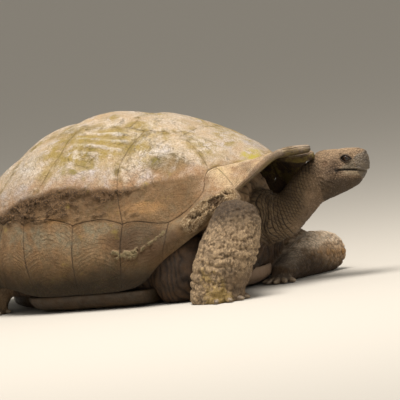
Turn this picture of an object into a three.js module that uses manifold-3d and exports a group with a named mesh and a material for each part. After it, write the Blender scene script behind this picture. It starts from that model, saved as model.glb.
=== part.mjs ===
// A giant tortoise at life size, lying on its belly with its head raised, as a still museum model.
// Millimetres and degrees. +X points forward, +Y to the animal's left and +Z up.
// The origin is the middle of the flat underside of the plastron, which rests on the floor.
import * as THREE from "three";
import { ParametricGeometry } from "three/addons/geometries/ParametricGeometry.js";
import { mergeVertices } from "three/addons/utils/BufferGeometryUtils.js";
import Module from "manifold-3d";

const wasm = await Module();
wasm.setup();

// Clearances between neighbouring pieces.
const jointGap = 0.4;
const seamGap = 2;
const cutterSwell = 30;

// Carapace. The shell is drawn on a round chart: its middle is the apex, its rim is the shell's lower edge.
// Angles on the chart run from the front (0) over the left side (90) to the rear (180).
const apex = { x: -54, z: 565 };
const ringRadius = 0.84;
const domeSweep = THREE.MathUtils.degToRad(80);
const scuteThickness = 14;
const rimThickness = 24;
const seamDepth = 4;
const vertebralRise = 9;
const costalRise = 9;
const marginalRise = 3;
const ringStep = 4.6;
const frontFullness = 0.86;
const sideFullness = 1.65;
const frontBulge = -4;
const sideBulge = 26;
const archHeight = 0.03;
// The front rim stands higher on the right half; its left half hangs lower and further back.
// The third marginal's front corner stands out past the second's.
const rimRaised = 10;
const rimLowered = 17;
const rimSetBack = 12;
const rimStepFrom = 430;
const rimStepTo = 560;
const rimNotch = 0.02;

// The ring where costal and marginal scutes meet, and the rim below it: angle, x, y, z.
const ringStations = [
  [0, 430, 0, 405],
  [20, 408, 118, 395],
  [46, 338, 238, 386],
  [56, 330, 298, 318],
  [68, 238, 358, 246],
  [80, 106, 398, 256],
  [96, -53, 412, 266],
  [113, -224, 397, 280],
  [136, -398, 302, 276],
  [158, -498, 158, 258],
  [180, -532, 0, 252],
];
const rimStations = [
  [0, 565, 0, 410],
  [5, 578, 34, 415],
  [17, 526, 114, 416],
  [28, 490, 184, 388],
  [40, 436, 270, 310],
  [50, 380, 318, 246],
  [60, 298, 358, 188],
  [68, 216, 386, 132],
  [74, 156, 402, 78],
  [80, 84, 408, 57],
  [96, -60, 407, 54],
  [113, -204, 396, 56],
  [124, -326, 354, 84],
  [147, -478, 236, 92],
  [169, -557, 82, 98],
  [180, -566, 0, 100],
];
const marginalSeams = [0, 17, 40, 68, 80, 96, 113, 124, 136, 147, 158, 169];
const costalSeams = [46, 80, 113, 136, 158];

// Seams between vertebral scutes: x on the midline, then x and y of the corner beside it.
const vertebralSeams = [
  { middle: 226, cornerX: 230, cornerY: 158 },
  { middle: 42, cornerX: 52, cornerY: 146 },
  { middle: -162, cornerX: -186, cornerY: 140 },
  { middle: -352, cornerX: -376, cornerY: 112 },
];
// Side corners of the second, third and fourth vertebral, where two costals meet.
const vertebralCorners = [
  { x: 104, y: 162 },
  { x: -122, y: 156 },
  { x: -272, y: 156 },
];

// How far each seam between two costals bends forward along the chart.
const costalBends = [-0.045, 0.04, 0.05];

// Trunk and plastron.
const bodyCentre = [-60, 0, 120];
const bodyRadii = [470, 478, 520];
const bodyFloor = 51.4;
const underSlack = 14;
const floorShare = 0.93;
const foldCentre = [232, 292, 108];
const foldRadii = [104, 86, 128];
const foldFloor = 6;
const plastronTop = 51;
const gularRise = 13; // the front of the plastron is turned up
const chestFoot = [376, 0, 65];
const chestFacing = [0.94, 0, -0.34];
const plastronFlat = 0.74;
const plastronOutline = [
  [388, 0],
  [379, 50],
  [350, 92],
  [304, 124],
  [262, 178],
  [206, 236],
  [168, 306],
  [144, 388],
  [40, 399],
  [-100, 397],
  [-216, 384],
  [-258, 338],
  [-288, 262],
  [-352, 214],
  [-410, 138],
  [-424, 54],
  [-404, 0],
];

// Head, placed at the back of the skull and turned a little to the left.
const headBase = [566, 62, 310];
const headYaw = 12;
const jawHinge = 66;
const mouthHeight = 25;
const mouthSlope = 0.1; // the mouth falls a little towards the beak, radians
const beakBack = 134;
const eyeRadius = 16;
const eyePlace = [99, 35, 57];
// Stations of the head: distance forward, half width, top and bottom.
const headStations = [
  [-30, 42, 53, -54],
  [0, 56, 79, -72],
  [30, 62, 86, -64],
  [60, 59, 85, -54],
  [90, 53, 85, -45],
  [118, 45, 84, -32],
  [138, 36, 80, -15],
  [152, 26, 72, 1],
  [160, 15, 60, 14],
];

const colours = {
  scute: 0x8c7555,
  marginal: 0x7d6444,
  plastron: 0x6a5a3a,
  skin: 0x6e5a48,
  head: 0x8c735a,
  horn: 0x5a4f4c,
  eye: 0x17110d,
};

const model = new THREE.Group();

// ---- solids and surfaces ----

function withoutSlivers(geometry) {
  const loose = geometry.index ? geometry.toNonIndexed() : geometry;
  const bare = new THREE.BufferGeometry();
  bare.setAttribute("position", loose.getAttribute("position").clone());
  const merged = mergeVertices(bare, 2e-3);
  const source = merged.index.array;
  const kept = [];
  for (let i = 0; i < source.length; i += 3) {
    const [a, b, c] = [source[i], source[i + 1], source[i + 2]];
    if (a !== b && b !== c && c !== a) kept.push(a, b, c);
  }
  merged.setIndex(kept);
  return merged;
}

function solidFrom(geometry) {
  const clean = withoutSlivers(geometry);
  const vertProperties = new Float32Array(clean.getAttribute("position").array);
  const triVerts = new Uint32Array(clean.index.array);
  const solid = new wasm.Manifold(new wasm.Mesh({ numProp: 3, vertProperties, triVerts }));
  if (solid.volume() > 0) return solid;
  const turned = triVerts.slice().reverse();
  return new wasm.Manifold(new wasm.Mesh({ numProp: 3, vertProperties, triVerts: turned }));
}

function geometryFrom(solid) {
  const mesh = solid.getMesh();
  const positions = new Float32Array(mesh.numVert * 3);
  for (let i = 0; i < mesh.numVert; i += 1) {
    positions.set(mesh.vertProperties.subarray(i * mesh.numProp, i * mesh.numProp + 3), i * 3);
  }
  const geometry = new THREE.BufferGeometry();
  geometry.setAttribute("position", new THREE.BufferAttribute(positions, 3));
  geometry.setIndex(Array.from(mesh.triVerts));
  return withoutSlivers(geometry);
}

function largestBody(solid) {
  return solid.decompose().reduce((best, body) => (body.volume() > best.volume() ? body : best));
}

function addPiece(name, solid, colour, roughness = 0.85) {
  const material = new THREE.MeshStandardMaterial({ color: colour, roughness, metalness: 0 });
  const mesh = new THREE.Mesh(geometryFrom(largestBody(solid)), material);
  mesh.geometry.computeVertexNormals();
  mesh.name = name;
  model.add(mesh);
}

// A closed surface: u runs round it, v from one pole to the other.
function closedSurface(pointAt, around, along) {
  const place = (u, v, target) => target.copy(pointAt(u * around, Math.round(v * along)));
  return solidFrom(new ParametricGeometry(place, around, along));
}

// A box that fills the side of a plane towards which `direction` points.
function halfSpace(origin, direction, size = 900) {
  const box = new THREE.BoxGeometry(size, size, size);
  const normal = new THREE.Vector3(...direction).normalize();
  box.applyQuaternion(new THREE.Quaternion().setFromUnitVectors(new THREE.Vector3(0, 0, 1), normal));
  const centre = new THREE.Vector3(...origin).addScaledVector(normal, size / 2);
  return solidFrom(box.translate(centre.x, centre.y, centre.z));
}

function ellipsoid(centre, radii, around = 12, down = 8) {
  const ball = new THREE.SphereGeometry(1, around, down);
  return solidFrom(ball.scale(...radii).translate(...centre));
}

// ---- the shell's chart ----

function mirroredCurve(stations) {
  const half = stations.map(([, x, y, z]) => new THREE.Vector3(x, y, z));
  const other = half.slice(1, -1).reverse().map((point) => new THREE.Vector3(point.x, -point.y, point.z));
  return new THREE.CatmullRomCurve3([...half, ...other], true, "catmullrom", 0.5);
}

function curveAt(curve, stations, angle) {
  const wrapped = THREE.MathUtils.euclideanModulo(angle + 180, 360) - 180;
  const size = Math.abs(wrapped);
  let index = stations.length - 2;
  while (stations[index][0] > size) index -= 1;
  const share = (size - stations[index][0]) / (stations[index + 1][0] - stations[index][0]);
  const point = curve.getPoint((index + share) / curve.points.length);
  if (wrapped < 0) point.y = -point.y;
  return point;
}

const ringCurve = mirroredCurve(ringStations);
const rimCurve = mirroredCurve(rimStations);
const ringAt = (angle) => curveAt(ringCurve, ringStations, angle);
const rimAt = (angle) => curveAt(rimCurve, rimStations, angle);

function sideways(angle) {
  const wrapped = THREE.MathUtils.euclideanModulo(angle + 180, 360) - 180;
  return THREE.MathUtils.smoothstep(Math.abs(wrapped), 12, 70);
}

function domePoint(angle, share) {
  const ring = ringAt(angle);
  const fullness = THREE.MathUtils.lerp(frontFullness, sideFullness, sideways(angle));
  const reach = Math.sin(share * domeSweep) / Math.sin(domeSweep);
  const power = 2 / fullness;
  const last = Math.cos(domeSweep) ** power;
  const height = (Math.cos(share * domeSweep) ** power - last) / (1 - last);
  return new THREE.Vector3(
    THREE.MathUtils.lerp(apex.x, ring.x, reach),
    ring.y * reach,
    THREE.MathUtils.lerp(ring.z, apex.z, height),
  );
}

function marginPoint(angle, share) {
  const ring = ringAt(angle);
  const chord = rimAt(angle).sub(ring);
  const along = ringAt(angle + 1).sub(ringAt(angle - 1));
  const outward = new THREE.Vector3().crossVectors(chord, along).normalize();
  const bulge = THREE.MathUtils.lerp(frontBulge, sideBulge, sideways(angle));
  return ring.addScaledVector(chord, share).addScaledVector(outward, bulge * Math.sin(share * Math.PI));
}

function shellPoint(p, q) {
  const radius = Math.hypot(p, q);
  const angle = THREE.MathUtils.radToDeg(Math.atan2(q, p));
  if (radius <= ringRadius) return domePoint(angle, radius / ringRadius);
  return marginPoint(angle, (radius - ringRadius) / (1 - ringRadius));
}

function shellNormal(p, q) {
  const step = 0.012;
  const forward = shellPoint(p + step, q).sub(shellPoint(p - step, q));
  const left = shellPoint(p, q + step).sub(shellPoint(p, q - step));
  return forward.cross(left).normalize();
}

function polar(angle, radius) {
  const turn = THREE.MathUtils.degToRad(angle);
  return new THREE.Vector2(Math.cos(turn) * radius, Math.sin(turn) * radius);
}

// The chart point of the dome that lies over x, y.
function chartOf(x, y) {
  const heading = Math.atan2(Math.abs(y), x - apex.x);
  let low = 0;
  let high = 180;
  for (let i = 0; i < 40; i += 1) {
    const middle = (low + high) / 2;
    const ring = ringAt(middle);
    if (Math.atan2(ring.y, ring.x - apex.x) < heading) low = middle;
    else high = middle;
  }
  const ring = ringAt(low);
  const reach = Math.hypot(x - apex.x, y) / Math.hypot(ring.x - apex.x, ring.y);
  const share = Math.asin(Math.min(reach, 1) * Math.sin(domeSweep)) / domeSweep;
  return polar(y < 0 ? -low : low, share * ringRadius);
}

// The border between costals and marginals rises in an arch over each marginal of the sides.
function borderRadius(angle) {
  const size = Math.abs(angle);
  const seams = [...marginalSeams, 191];
  let index = seams.length - 2;
  while (seams[index] > size) index -= 1;
  const share = (size - seams[index]) / (seams[index + 1] - seams[index]);
  const arch = archHeight * THREE.MathUtils.smoothstep(size, 60, 82);
  return ringRadius - arch * Math.sin(share * Math.PI) ** 0.8;
}

const ringBreaks = [...new Set([...marginalSeams, ...costalSeams, 180])].sort((a, b) => a - b);

// Chart angles from one seam to another, with every seam between them and even steps.
function anglesBetween(from, to) {
  const signed = [...ringBreaks.map((angle) => -angle), ...ringBreaks, ...ringBreaks.map((angle) => 360 - angle)];
  const low = Math.min(from, to);
  const high = Math.max(from, to);
  const stops = [...new Set(signed)].filter((angle) => angle >= low && angle <= high).sort((a, b) => a - b);
  const angles = [stops[0]];
  for (let i = 1; i < stops.length; i += 1) {
    const count = Math.max(1, Math.round((stops[i] - stops[i - 1]) / ringStep));
    for (let k = 1; k <= count; k += 1) {
      angles.push(THREE.MathUtils.lerp(stops[i - 1], stops[i], k / count));
    }
  }
  return from <= to ? angles : angles.reverse();
}

function borderPath(from, to) {
  return anglesBetween(from, to).map((angle) => {
    const wrapped = angle > 180 ? angle - 360 : angle;
    return polar(angle, borderRadius(wrapped));
  });
}

function straightPath(from, to, count) {
  const points = [];
  for (let k = 0; k <= count; k += 1) points.push(from.clone().lerp(to, k / count));
  return points;
}

function bentPath(from, to, count, bend) {
  return straightPath(from, to, count).map((point, index) => {
    point.x += bend * Math.sin((index / count) * Math.PI);
    return point;
  });
}

// Joins paths end to end into one closed outline.
function outlineOf(...paths) {
  return paths.flatMap((path) => path.slice(0, -1));
}

function middleOf(outline) {
  const sum = outline.reduce((total, point) => total.add(point), new THREE.Vector2());
  return sum.multiplyScalar(1 / outline.length);
}

function plateDepth(point) {
  const rimward = THREE.MathUtils.smoothstep(point.length(), ringRadius, 1);
  return THREE.MathUtils.lerp(scuteThickness, rimThickness, rimward);
}

// Draws an outline in by `gap` millimetres, measured on the shell.
function drawnIn(outline, gap) {
  const step = 0.01;
  return outline.map((point, index) => {
    const before = outline.at(index - 1);
    const after = outline[(index + 1) % outline.length];
    const place = shellPoint(point.x, point.y);
    const normal = shellNormal(point.x, point.y);
    const arriving = place.clone().sub(shellPoint(before.x, before.y)).normalize();
    const leaving = shellPoint(after.x, after.y).sub(place).normalize();
    const inward = normal.clone().cross(arriving).add(normal.clone().cross(leaving)).normalize();
    const sharpness = Math.max(inward.dot(normal.clone().cross(leaving).normalize()), 0.4);
    const move = inward.multiplyScalar(gap / sharpness);
    const alongP = shellPoint(point.x + step, point.y).sub(place).divideScalar(step);
    const alongQ = shellPoint(point.x, point.y + step).sub(place).divideScalar(step);
    const [pp, pq, qq] = [alongP.dot(alongP), alongP.dot(alongQ), alongQ.dot(alongQ)];
    const [mp, mq] = [move.dot(alongP), move.dot(alongQ)];
    const scale = 1 / (pp * qq - pq * pq);
    return new THREE.Vector2(point.x + (mp * qq - mq * pq) * scale, point.y + (mq * pp - mp * pq) * scale);
  });
}

// A plate over one outline of the chart: raised in the middle, with a groove at its edge.
function plateSolid(fullOutline, rise, side, { gap = seamGap / 2, deeper = 0, higher = 0 } = {}) {
  const outline = drawnIn(fullOutline, gap).reverse();
  const middle = middleOf(outline);
  const levels = [
    { share: 0, lift: rise, inside: false },
    { share: 0.58, lift: rise * 0.72, inside: false },
    { share: 0.9, lift: 0, inside: false },
    { share: 1, lift: -seamDepth, inside: false },
    { share: 1, lift: 0, inside: true },
    { share: 0, lift: 0, inside: true },
  ];
  const pointAt = (index, level) => {
    const edge = outline[Math.round(index) % outline.length];
    const { share, lift, inside } = levels[level];
    const place = middle.clone().lerp(edge, share);
    const normal = shellNormal(place.x, place.y);
    const offset = inside ? -plateDepth(place) - deeper : lift + higher;
    const point = shellPoint(place.x, place.y).addScaledVector(normal, offset);
    point.y *= side;
    const front = THREE.MathUtils.smoothstep(point.x, rimStepFrom, rimStepTo);
    point.z += front * (side < 0 ? rimRaised : -rimLowered);
    if (side > 0) point.x -= front * rimSetBack;
    return point;
  };
  return closedSurface(pointAt, outline.length, levels.length - 1);
}

// ---- outlines of the scutes ----

const seamMiddle = (seam) => chartOf(seam.middle, 0);
const seamCorner = (seam, side) => chartOf(seam.cornerX, side * seam.cornerY);
const sideCorner = (corner, side) => chartOf(corner.x, side * corner.y);
const ringPoint = (angle) => polar(angle, borderRadius(angle > 180 ? angle - 360 : angle));

function crossSeam(seam, from) {
  return [
    ...straightPath(seamCorner(seam, from), seamMiddle(seam), 2).slice(0, -1),
    ...straightPath(seamMiddle(seam), seamCorner(seam, -from), 2),
  ];
}

function firstVertebral() {
  const seam = vertebralSeams[0];
  return outlineOf(
    borderPath(-costalSeams[0], costalSeams[0]),
    straightPath(ringPoint(costalSeams[0]), seamCorner(seam, 1), 4),
    crossSeam(seam, 1),
    straightPath(seamCorner(seam, -1), ringPoint(-costalSeams[0]), 4),
  );
}

function middleVertebral(index) {
  const front = vertebralSeams[index - 1];
  const rear = vertebralSeams[index];
  const corner = vertebralCorners[index - 1];
  return outlineOf(
    crossSeam(front, -1),
    straightPath(seamCorner(front, 1), sideCorner(corner, 1), 2),
    straightPath(sideCorner(corner, 1), seamCorner(rear, 1), 2),
    crossSeam(rear, 1),
    straightPath(seamCorner(rear, -1), sideCorner(corner, -1), 2),
    straightPath(sideCorner(corner, -1), seamCorner(front, -1), 2),
  );
}

function lastVertebral() {
  const seam = vertebralSeams[3];
  const side = costalSeams[4];
  return outlineOf(
    crossSeam(seam, -1),
    straightPath(seamCorner(seam, 1), ringPoint(side), 3),
    borderPath(side, 360 - side),
    straightPath(ringPoint(-side), seamCorner(seam, -1), 3),
  );
}

function costal(index) {
  const rearSeam = vertebralSeams[index];
  const lower = borderPath(costalSeams[index], costalSeams[index + 1]);
  const frontTop = index === 0 ? null : sideCorner(vertebralCorners[index - 1], 1);
  const rearTop = index === 3 ? null : sideCorner(vertebralCorners[index], 1);
  const rearRing = ringPoint(costalSeams[index + 1]);
  const frontRing = ringPoint(costalSeams[index]);
  const middle = seamCorner(rearSeam, 1);
  const rearEdge = rearTop
    ? [bentPath(rearRing, rearTop, 4, costalBends[index]), straightPath(rearTop, middle, 2)]
    : [straightPath(rearRing, middle, 3)];
  const frontEdge = frontTop
    ? [straightPath(middle, frontTop, 2), bentPath(frontTop, frontRing, 4, costalBends[index - 1])]
    : [straightPath(middle, frontRing, 4)];
  return outlineOf(lower, ...rearEdge, ...frontEdge);
}

// The shell twists most between the second and fourth marginals, so their seams take more steps.
const seamSteps = (angle) => (angle > 30 && angle < 90 ? 5 : 2);

function rimRadius(angle, from) {
  if (from === marginalSeams[2]) return 1 + rimNotch * (1 - THREE.MathUtils.smoothstep(angle, from, 54));
  if (from === marginalSeams[1]) return 1 - rimNotch * THREE.MathUtils.smoothstep(angle, 28, marginalSeams[2]);
  return 1;
}

function marginal(from, to) {
  const upper = borderPath(to, from);
  const lower = anglesBetween(from, to).map((angle) => polar(angle, rimRadius(angle, from)));
  return outlineOf(
    lower,
    straightPath(lower.at(-1), upper[0], seamSteps(to)),
    upper,
    straightPath(upper.at(-1), lower[0], seamSteps(from)),
  );
}

function scuteList() {
  const list = [];
  const pair = (name, outline, rise, colour) => {
    list.push({ name: `${name}_left`, outline, rise, colour, side: 1 });
    list.push({ name: `${name}_right`, outline, rise, colour, side: -1 });
  };
  const vertebrals = [firstVertebral(), ...[1, 2, 3].map(middleVertebral), lastVertebral()];
  vertebrals.forEach((outline, index) => {
    list.push({ name: `vertebral_${index + 1}`, outline, rise: vertebralRise, colour: colours.scute, side: 1 });
  });
  for (let i = 0; i < 4; i += 1) pair(`costal_${i + 1}`, costal(i), costalRise, colours.scute);
  for (let i = 0; i < 11; i += 1) {
    pair(`marginal_${i + 1}`, marginal(marginalSeams[i], marginalSeams[i + 1]), marginalRise, colours.marginal);
  }
  const tailSeam = marginalSeams.at(-1);
  list.push({
    name: "supracaudal",
    outline: marginal(tailSeam, 360 - tailSeam),
    rise: marginalRise,
    colour: colours.marginal,
    side: 1,
  });
  return list;
}

// ---- plastron and trunk ----

function plastronSolid(grow = 0) {
  const other = plastronOutline.slice(1, -1).reverse().map(([x, y]) => [x, -y]);
  const points = [...plastronOutline, ...other].map(([x, y]) => new THREE.Vector3(x, y, 0));
  const edge = new THREE.CatmullRomCurve3(points, true, "catmullrom", 0.5);
  const around = 34;
  const levels = [
    { share: 0, height: () => -grow },
    { share: plastronFlat, height: () => -grow },
    { share: 0.9, height: (rise, gular) => rise * 0.2 + gular * 0.5 - grow },
    { share: 0.965, height: (rise, gular) => rise * 0.6 + gular - grow },
    { share: 1, height: (rise, gular) => rise * 1.35 + gular - grow },
    { share: 1, height: (rise, gular) => plastronTop + gular + grow },
    { share: 0.8, height: () => plastronTop + grow },
    { share: 0, height: () => plastronTop + grow },
  ];
  const pointAt = (index, level) => {
    const point = edge.getPoint((Math.round(index) % around) / around);
    const rise = THREE.MathUtils.lerp(14, 24, THREE.MathUtils.smoothstep(Math.abs(point.y), 240, 380));
    const gular = gularRise * THREE.MathUtils.smoothstep(point.x, 280, 370);
    const swell = 1 + grow / point.length();
    return new THREE.Vector3(
      point.x * levels[level].share * swell,
      point.y * levels[level].share * swell,
      levels[level].height(rise, gular),
    );
  };
  return closedSurface(pointAt, around, levels.length - 1);
}

// The space under the scutes, down to the top of the plastron.
function underShell(grow) {
  const around = 28;
  const shares = [0, 0.3, 0.58, 0.78, 0.88, 0.96];
  const pointAt = (index, level) => {
    if (level > shares.length) return new THREE.Vector3(0, 0, bodyFloor - grow);
    const angle = ((Math.round(index) % around) / around) * 360;
    const place = polar(angle, shares[Math.min(level, shares.length - 1)]);
    const depth = plateDepth(place) + underSlack - grow + THREE.MathUtils.smoothstep(place.length(), 0.7, 0.88) * 8;
    const point = shellPoint(place.x, place.y).addScaledVector(shellNormal(place.x, place.y), -depth);
    if (level === shares.length) point.multiplyScalar(floorShare).setZ(bodyFloor - grow);
    return point;
  };
  return closedSurface(pointAt, around, shares.length + 1);
}

// ---- flesh ----

// The trunk under the shell, with the folds of skin that bulge between the shell and the forelegs.
function trunkSolid(grow = 0) {
  const radii = bodyRadii.map((radius) => radius + grow);
  const body = underShell(grow)
    .intersect(ellipsoid(bodyCentre, radii, 20, 12))
    .subtract(halfSpace([chestFoot[0] + grow, chestFoot[1], chestFoot[2]], chestFacing))
    .subtract(plastronSolid(jointGap));
  const folds = [1, -1].map((side) =>
    ellipsoid([foldCentre[0], side * foldCentre[1], foldCentre[2]], foldRadii.map((radius) => radius + grow)),
  );
  const lifted = join(...folds).subtract(halfSpace([0, 0, foldFloor - grow], [0, 0, -1], 2400));
  return join(body, clearOfShell(lifted));
}

// A limb along a curve. Each station: x, y, z, radius across, radius up.
function limbSolid(stations, { around = 16, along = 9, grow = 0, across = null } = {}) {
  const centres = stations.map(([x, y, z]) => new THREE.Vector3(x, y, z));
  const curve = new THREE.CatmullRomCurve3(centres, false, "catmullrom", 0.5);
  const radii = stations.map(([, , , wide, high]) => new THREE.Vector3(wide, high, 0));
  const radiusCurve = new THREE.CatmullRomCurve3(radii, false, "catmullrom", 0.5);
  const pointAt = (index, level) => {
    const share = level / along;
    const tangent = curve.getTangent(share);
    const side = across ? new THREE.Vector3(...across) : new THREE.Vector3(0, 0, 1).cross(tangent);
    side.addScaledVector(tangent, -side.dot(tangent)).normalize();
    const up = tangent.clone().cross(side);
    const radius = radiusCurve.getPoint(share);
    const pole = level === 0 || level === along;
    const turn = ((Math.round(index) % around) / around) * Math.PI * 2;
    const point = curve.getPoint(share);
    if (pole) return point.addScaledVector(tangent, level ? grow : -grow);
    point.addScaledVector(side, Math.cos(turn) * (radius.x + grow));
    return point.addScaledVector(up, Math.sin(turn) * (radius.y + grow));
  };
  return closedSurface(pointAt, around, along);
}

function onFloor(solid) {
  return solid.subtract(halfSpace([0, 0, 0], [0, 0, -1], 2400));
}

const neckShape = { along: 9, around: 12 };
const neckStations = [
  [280, 2, 184, 70, 72],
  [330, 6, 200, 98, 94],
  [388, 14, 212, 98, 88],
  [424, 23, 207, 82, 78],
  [452, 31, 208, 73, 69],
  [488, 42, 236, 66, 59],
  [530, 53, 280, 61, 59],
  [565, 62, 311, 58, 60],
  [596, 68, 330, 50, 58],
  [612, 72, 336, 20, 20],
];

function headPlacement() {
  const turn = new THREE.Matrix4().makeRotationZ(THREE.MathUtils.degToRad(headYaw));
  return turn.setPosition(...headBase);
}

function inHead(geometry) {
  return solidFrom(geometry.applyMatrix4(headPlacement()));
}

function headSolid() {
  const around = 18;
  const along = 11;
  const points = headStations.map(([x, wide, top]) => new THREE.Vector3(x, wide, top));
  const depths = headStations.map(([x, , , bottom]) => new THREE.Vector3(x, bottom, 0));
  const upper = new THREE.CatmullRomCurve3(points, false, "catmullrom", 0.5);
  const lower = new THREE.CatmullRomCurve3(depths, false, "catmullrom", 0.5);
  const pointAt = (index, level) => {
    const share = Math.sin((level / along) * Math.PI / 2);
    const { x, y: wide, z: top } = upper.getPoint(share);
    const bottom = lower.getPoint(share).y;
    const middle = (top + bottom) / 2;
    if (level === 0) return new THREE.Vector3(x, 0, middle);
    if (level === along) return new THREE.Vector3(x + 2, 0, middle);
    const turn = ((Math.round(index) % around) / around) * Math.PI * 2;
    const round = (value) => Math.sign(value) * Math.abs(value) ** 0.86;
    return new THREE.Vector3(
      x,
      wide * round(Math.cos(turn)),
      middle + ((top - bottom) / 2) * round(Math.sin(turn)),
    );
  };
  const place = (u, v, target) => target.copy(pointAt(u * around, Math.round(v * along)));
  return inHead(new ParametricGeometry(place, around, along));
}

function headBox(from, to, grow) {
  const size = new THREE.Vector3(...to).sub(new THREE.Vector3(...from)).addScalar(grow * 2);
  const centre = new THREE.Vector3(...to).add(new THREE.Vector3(...from)).multiplyScalar(0.5);
  const box = new THREE.BoxGeometry(...size).translate(...centre);
  box.translate(-jawHinge, 0, -mouthHeight).rotateY(mouthSlope);
  return inHead(box.translate(jawHinge, 0, mouthHeight));
}

const jawSpace = (grow = 0) => headBox([jawHinge, -90, -90], [220, 90, mouthHeight], grow);
const beakSpace = (grow = 0) => headBox([beakBack, -90, mouthHeight + jointGap], [220, 90, 74], grow);

function eyeSolid(side, grow = 0) {
  const ball = new THREE.SphereGeometry(eyeRadius + grow, 10, 6);
  return inHead(ball.translate(eyePlace[0], side * eyePlace[1], eyePlace[2]));
}

// Blunt claws in a fan round the front of a foot.
function clawSolids(centre, reach, heading, count, spread) {
  const claws = [];
  for (let i = 0; i < count; i += 1) {
    const angle = heading + (i / (count - 1) - 0.5) * spread;
    const turn = THREE.MathUtils.degToRad(angle);
    const claw = new THREE.SphereGeometry(1, 6, 4).scale(27, 12, 10).rotateY(0.22).rotateZ(turn);
    claw.translate(centre[0] + Math.cos(turn) * reach, centre[1] + Math.sin(turn) * reach, centre[2]);
    claws.push(solidFrom(claw));
  }
  return claws;
}

function join(...solids) {
  return solids.reduce((whole, part) => whole.add(part));
}

const rightForearm = [
  [464, -322, 294, 6, 6],
  [461, -324, 281, 50, 45],
  [454, -328, 248, 71, 66],
  [440, -338, 200, 82, 74],
  [420, -352, 148, 89, 78],
  [400, -364, 98, 87, 77],
  [386, -371, 50, 82, 75],
  [381, -375, 12, 82, 78],
  [380, -376, -12, 76, 73],
  [380, -376, -20, 10, 10],
];
const rightUpperArm = [
  [270, -120, 190, 20, 20],
  [300, -160, 194, 74, 80],
  [350, -214, 200, 76, 82],
  [410, -276, 204, 70, 74],
  [458, -322, 208, 56, 56],
  [480, -340, 210, 20, 20],
];
const leftForearm = [
  [464, 386, 58, 8, 8],
  [460, 374, 58, 52, 56],
  [446, 332, 60, 58, 69],
  [434, 262, 64, 63, 71],
  [424, 196, 58, 58, 62],
  [418, 140, 46, 48, 48],
  [416, 104, 40, 42, 40],
  [415, 70, 34, 41, 34],
  [414, 42, 30, 35, 29],
  [414, 30, 28, 12, 12],
];
const leftUpperArm = [
  [256, 150, 150, 20, 20],
  [290, 190, 142, 74, 72],
  [340, 240, 118, 70, 62],
  [400, 290, 82, 62, 50],
  [446, 318, 66, 50, 42],
  [470, 326, 64, 16, 16],
];

function hindLeg(side) {
  return [
    [-346, side * 236, 172, 20, 20],
    [-362, side * 246, 158, 74, 68],
    [-402, side * 266, 112, 78, 72],
    [-438, side * 280, 60, 76, 72],
    [-450, side * 284, 14, 78, 75],
    [-452, side * 285, -12, 74, 71],
    [-452, side * 285, -20, 10, 10],
  ];
}

const tailStations = [
  [-440, 0, 96, 20, 20],
  [-462, 0, 90, 36, 34],
  [-500, 6, 70, 27, 26],
  [-528, 18, 46, 18, 18],
  [-540, 34, 26, 11, 11],
  [-542, 42, 18, 3, 3],
];

// ---- assembly ----

function addShell() {
  const scutes = scuteList();
  scutes.forEach(({ name, outline, rise, side, colour }) =>
    addPiece(name, plateSolid(outline, rise, side), colour, 0.6),
  );
  return scutes.map(({ outline, rise, side }) =>
    plateSolid(outline, rise, side, { gap: -3, deeper: 5 * jointGap, higher: cutterSwell }),
  );
}

function addHeadAndNeck(clear) {
  const whole = headSolid().add(limbSolid(neckStations, neckShape));
  const nape = [576, 64, 312];
  const napeFacing = [0.94, 0.19, 0.28];
  const midNeck = [478, 40, 230];
  const midFacing = [0.82, 0.2, 0.54];
  const behind = (origin, facing, gap) => {
    const shifted = new THREE.Vector3(...origin).addScaledVector(new THREE.Vector3(...facing).normalize(), gap);
    return halfSpace(shifted.toArray(), facing.map((value) => -value));
  };
  let head = whole.subtract(behind(nape, napeFacing, jointGap));
  [1, -1].forEach((side) => {
    head = head.subtract(eyeSolid(side, jointGap));
    addPiece(side > 0 ? "eye_left" : "eye_right", eyeSolid(side), colours.eye, 0.15);
  });
  addPiece("jaw_lower", head.intersect(jawSpace()), colours.head);
  addPiece("beak_upper", head.intersect(beakSpace()), colours.horn, 0.5);
  addPiece("head", head.subtract(jawSpace(jointGap)).subtract(beakSpace(jointGap)), colours.head);
  const front = whole.subtract(halfSpace(nape, napeFacing));
  addPiece("neck_upper", front.subtract(behind(midNeck, midFacing, jointGap)), colours.skin);
  const lower = front.subtract(halfSpace(midNeck, midFacing));
  addPiece("neck_lower", clear(lower), colours.skin);
}

const grown = { grow: jointGap };
const foreShape = { along: 9, around: 12, across: [1, 0.3, 0] };
const upperShape = { along: 5, around: 10 };
const hindShape = { along: 6, around: 10, across: [1, 0, 0] };

// Parts a leg from its foot with a plane; `facing` points from the foot up the leg.
function partFoot(leg, origin, facing) {
  const normal = new THREE.Vector3(...facing).normalize();
  const above = new THREE.Vector3(...origin).addScaledVector(normal, jointGap).toArray();
  return {
    foot: leg.subtract(halfSpace(origin, facing)),
    shank: leg.subtract(halfSpace(above, facing.map((value) => -value))),
  };
}

function addFrontLeg(side, upper, fore, cut, claws, clear) {
  const forearm = clear(onFloor(limbSolid(fore, foreShape)));
  const reach = limbSolid(fore, { ...foreShape, ...grown });
  const { foot, shank } = partFoot(forearm, cut.origin, cut.facing);
  addPiece(`upper_arm_${side}`, clear(onFloor(limbSolid(upper, upperShape).subtract(reach))), colours.skin);
  addPiece(`forearm_${side}`, shank, colours.skin);
  addPiece(`forefoot_${side}`, onFloor(join(foot, ...claws)), colours.skin);
}

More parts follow.
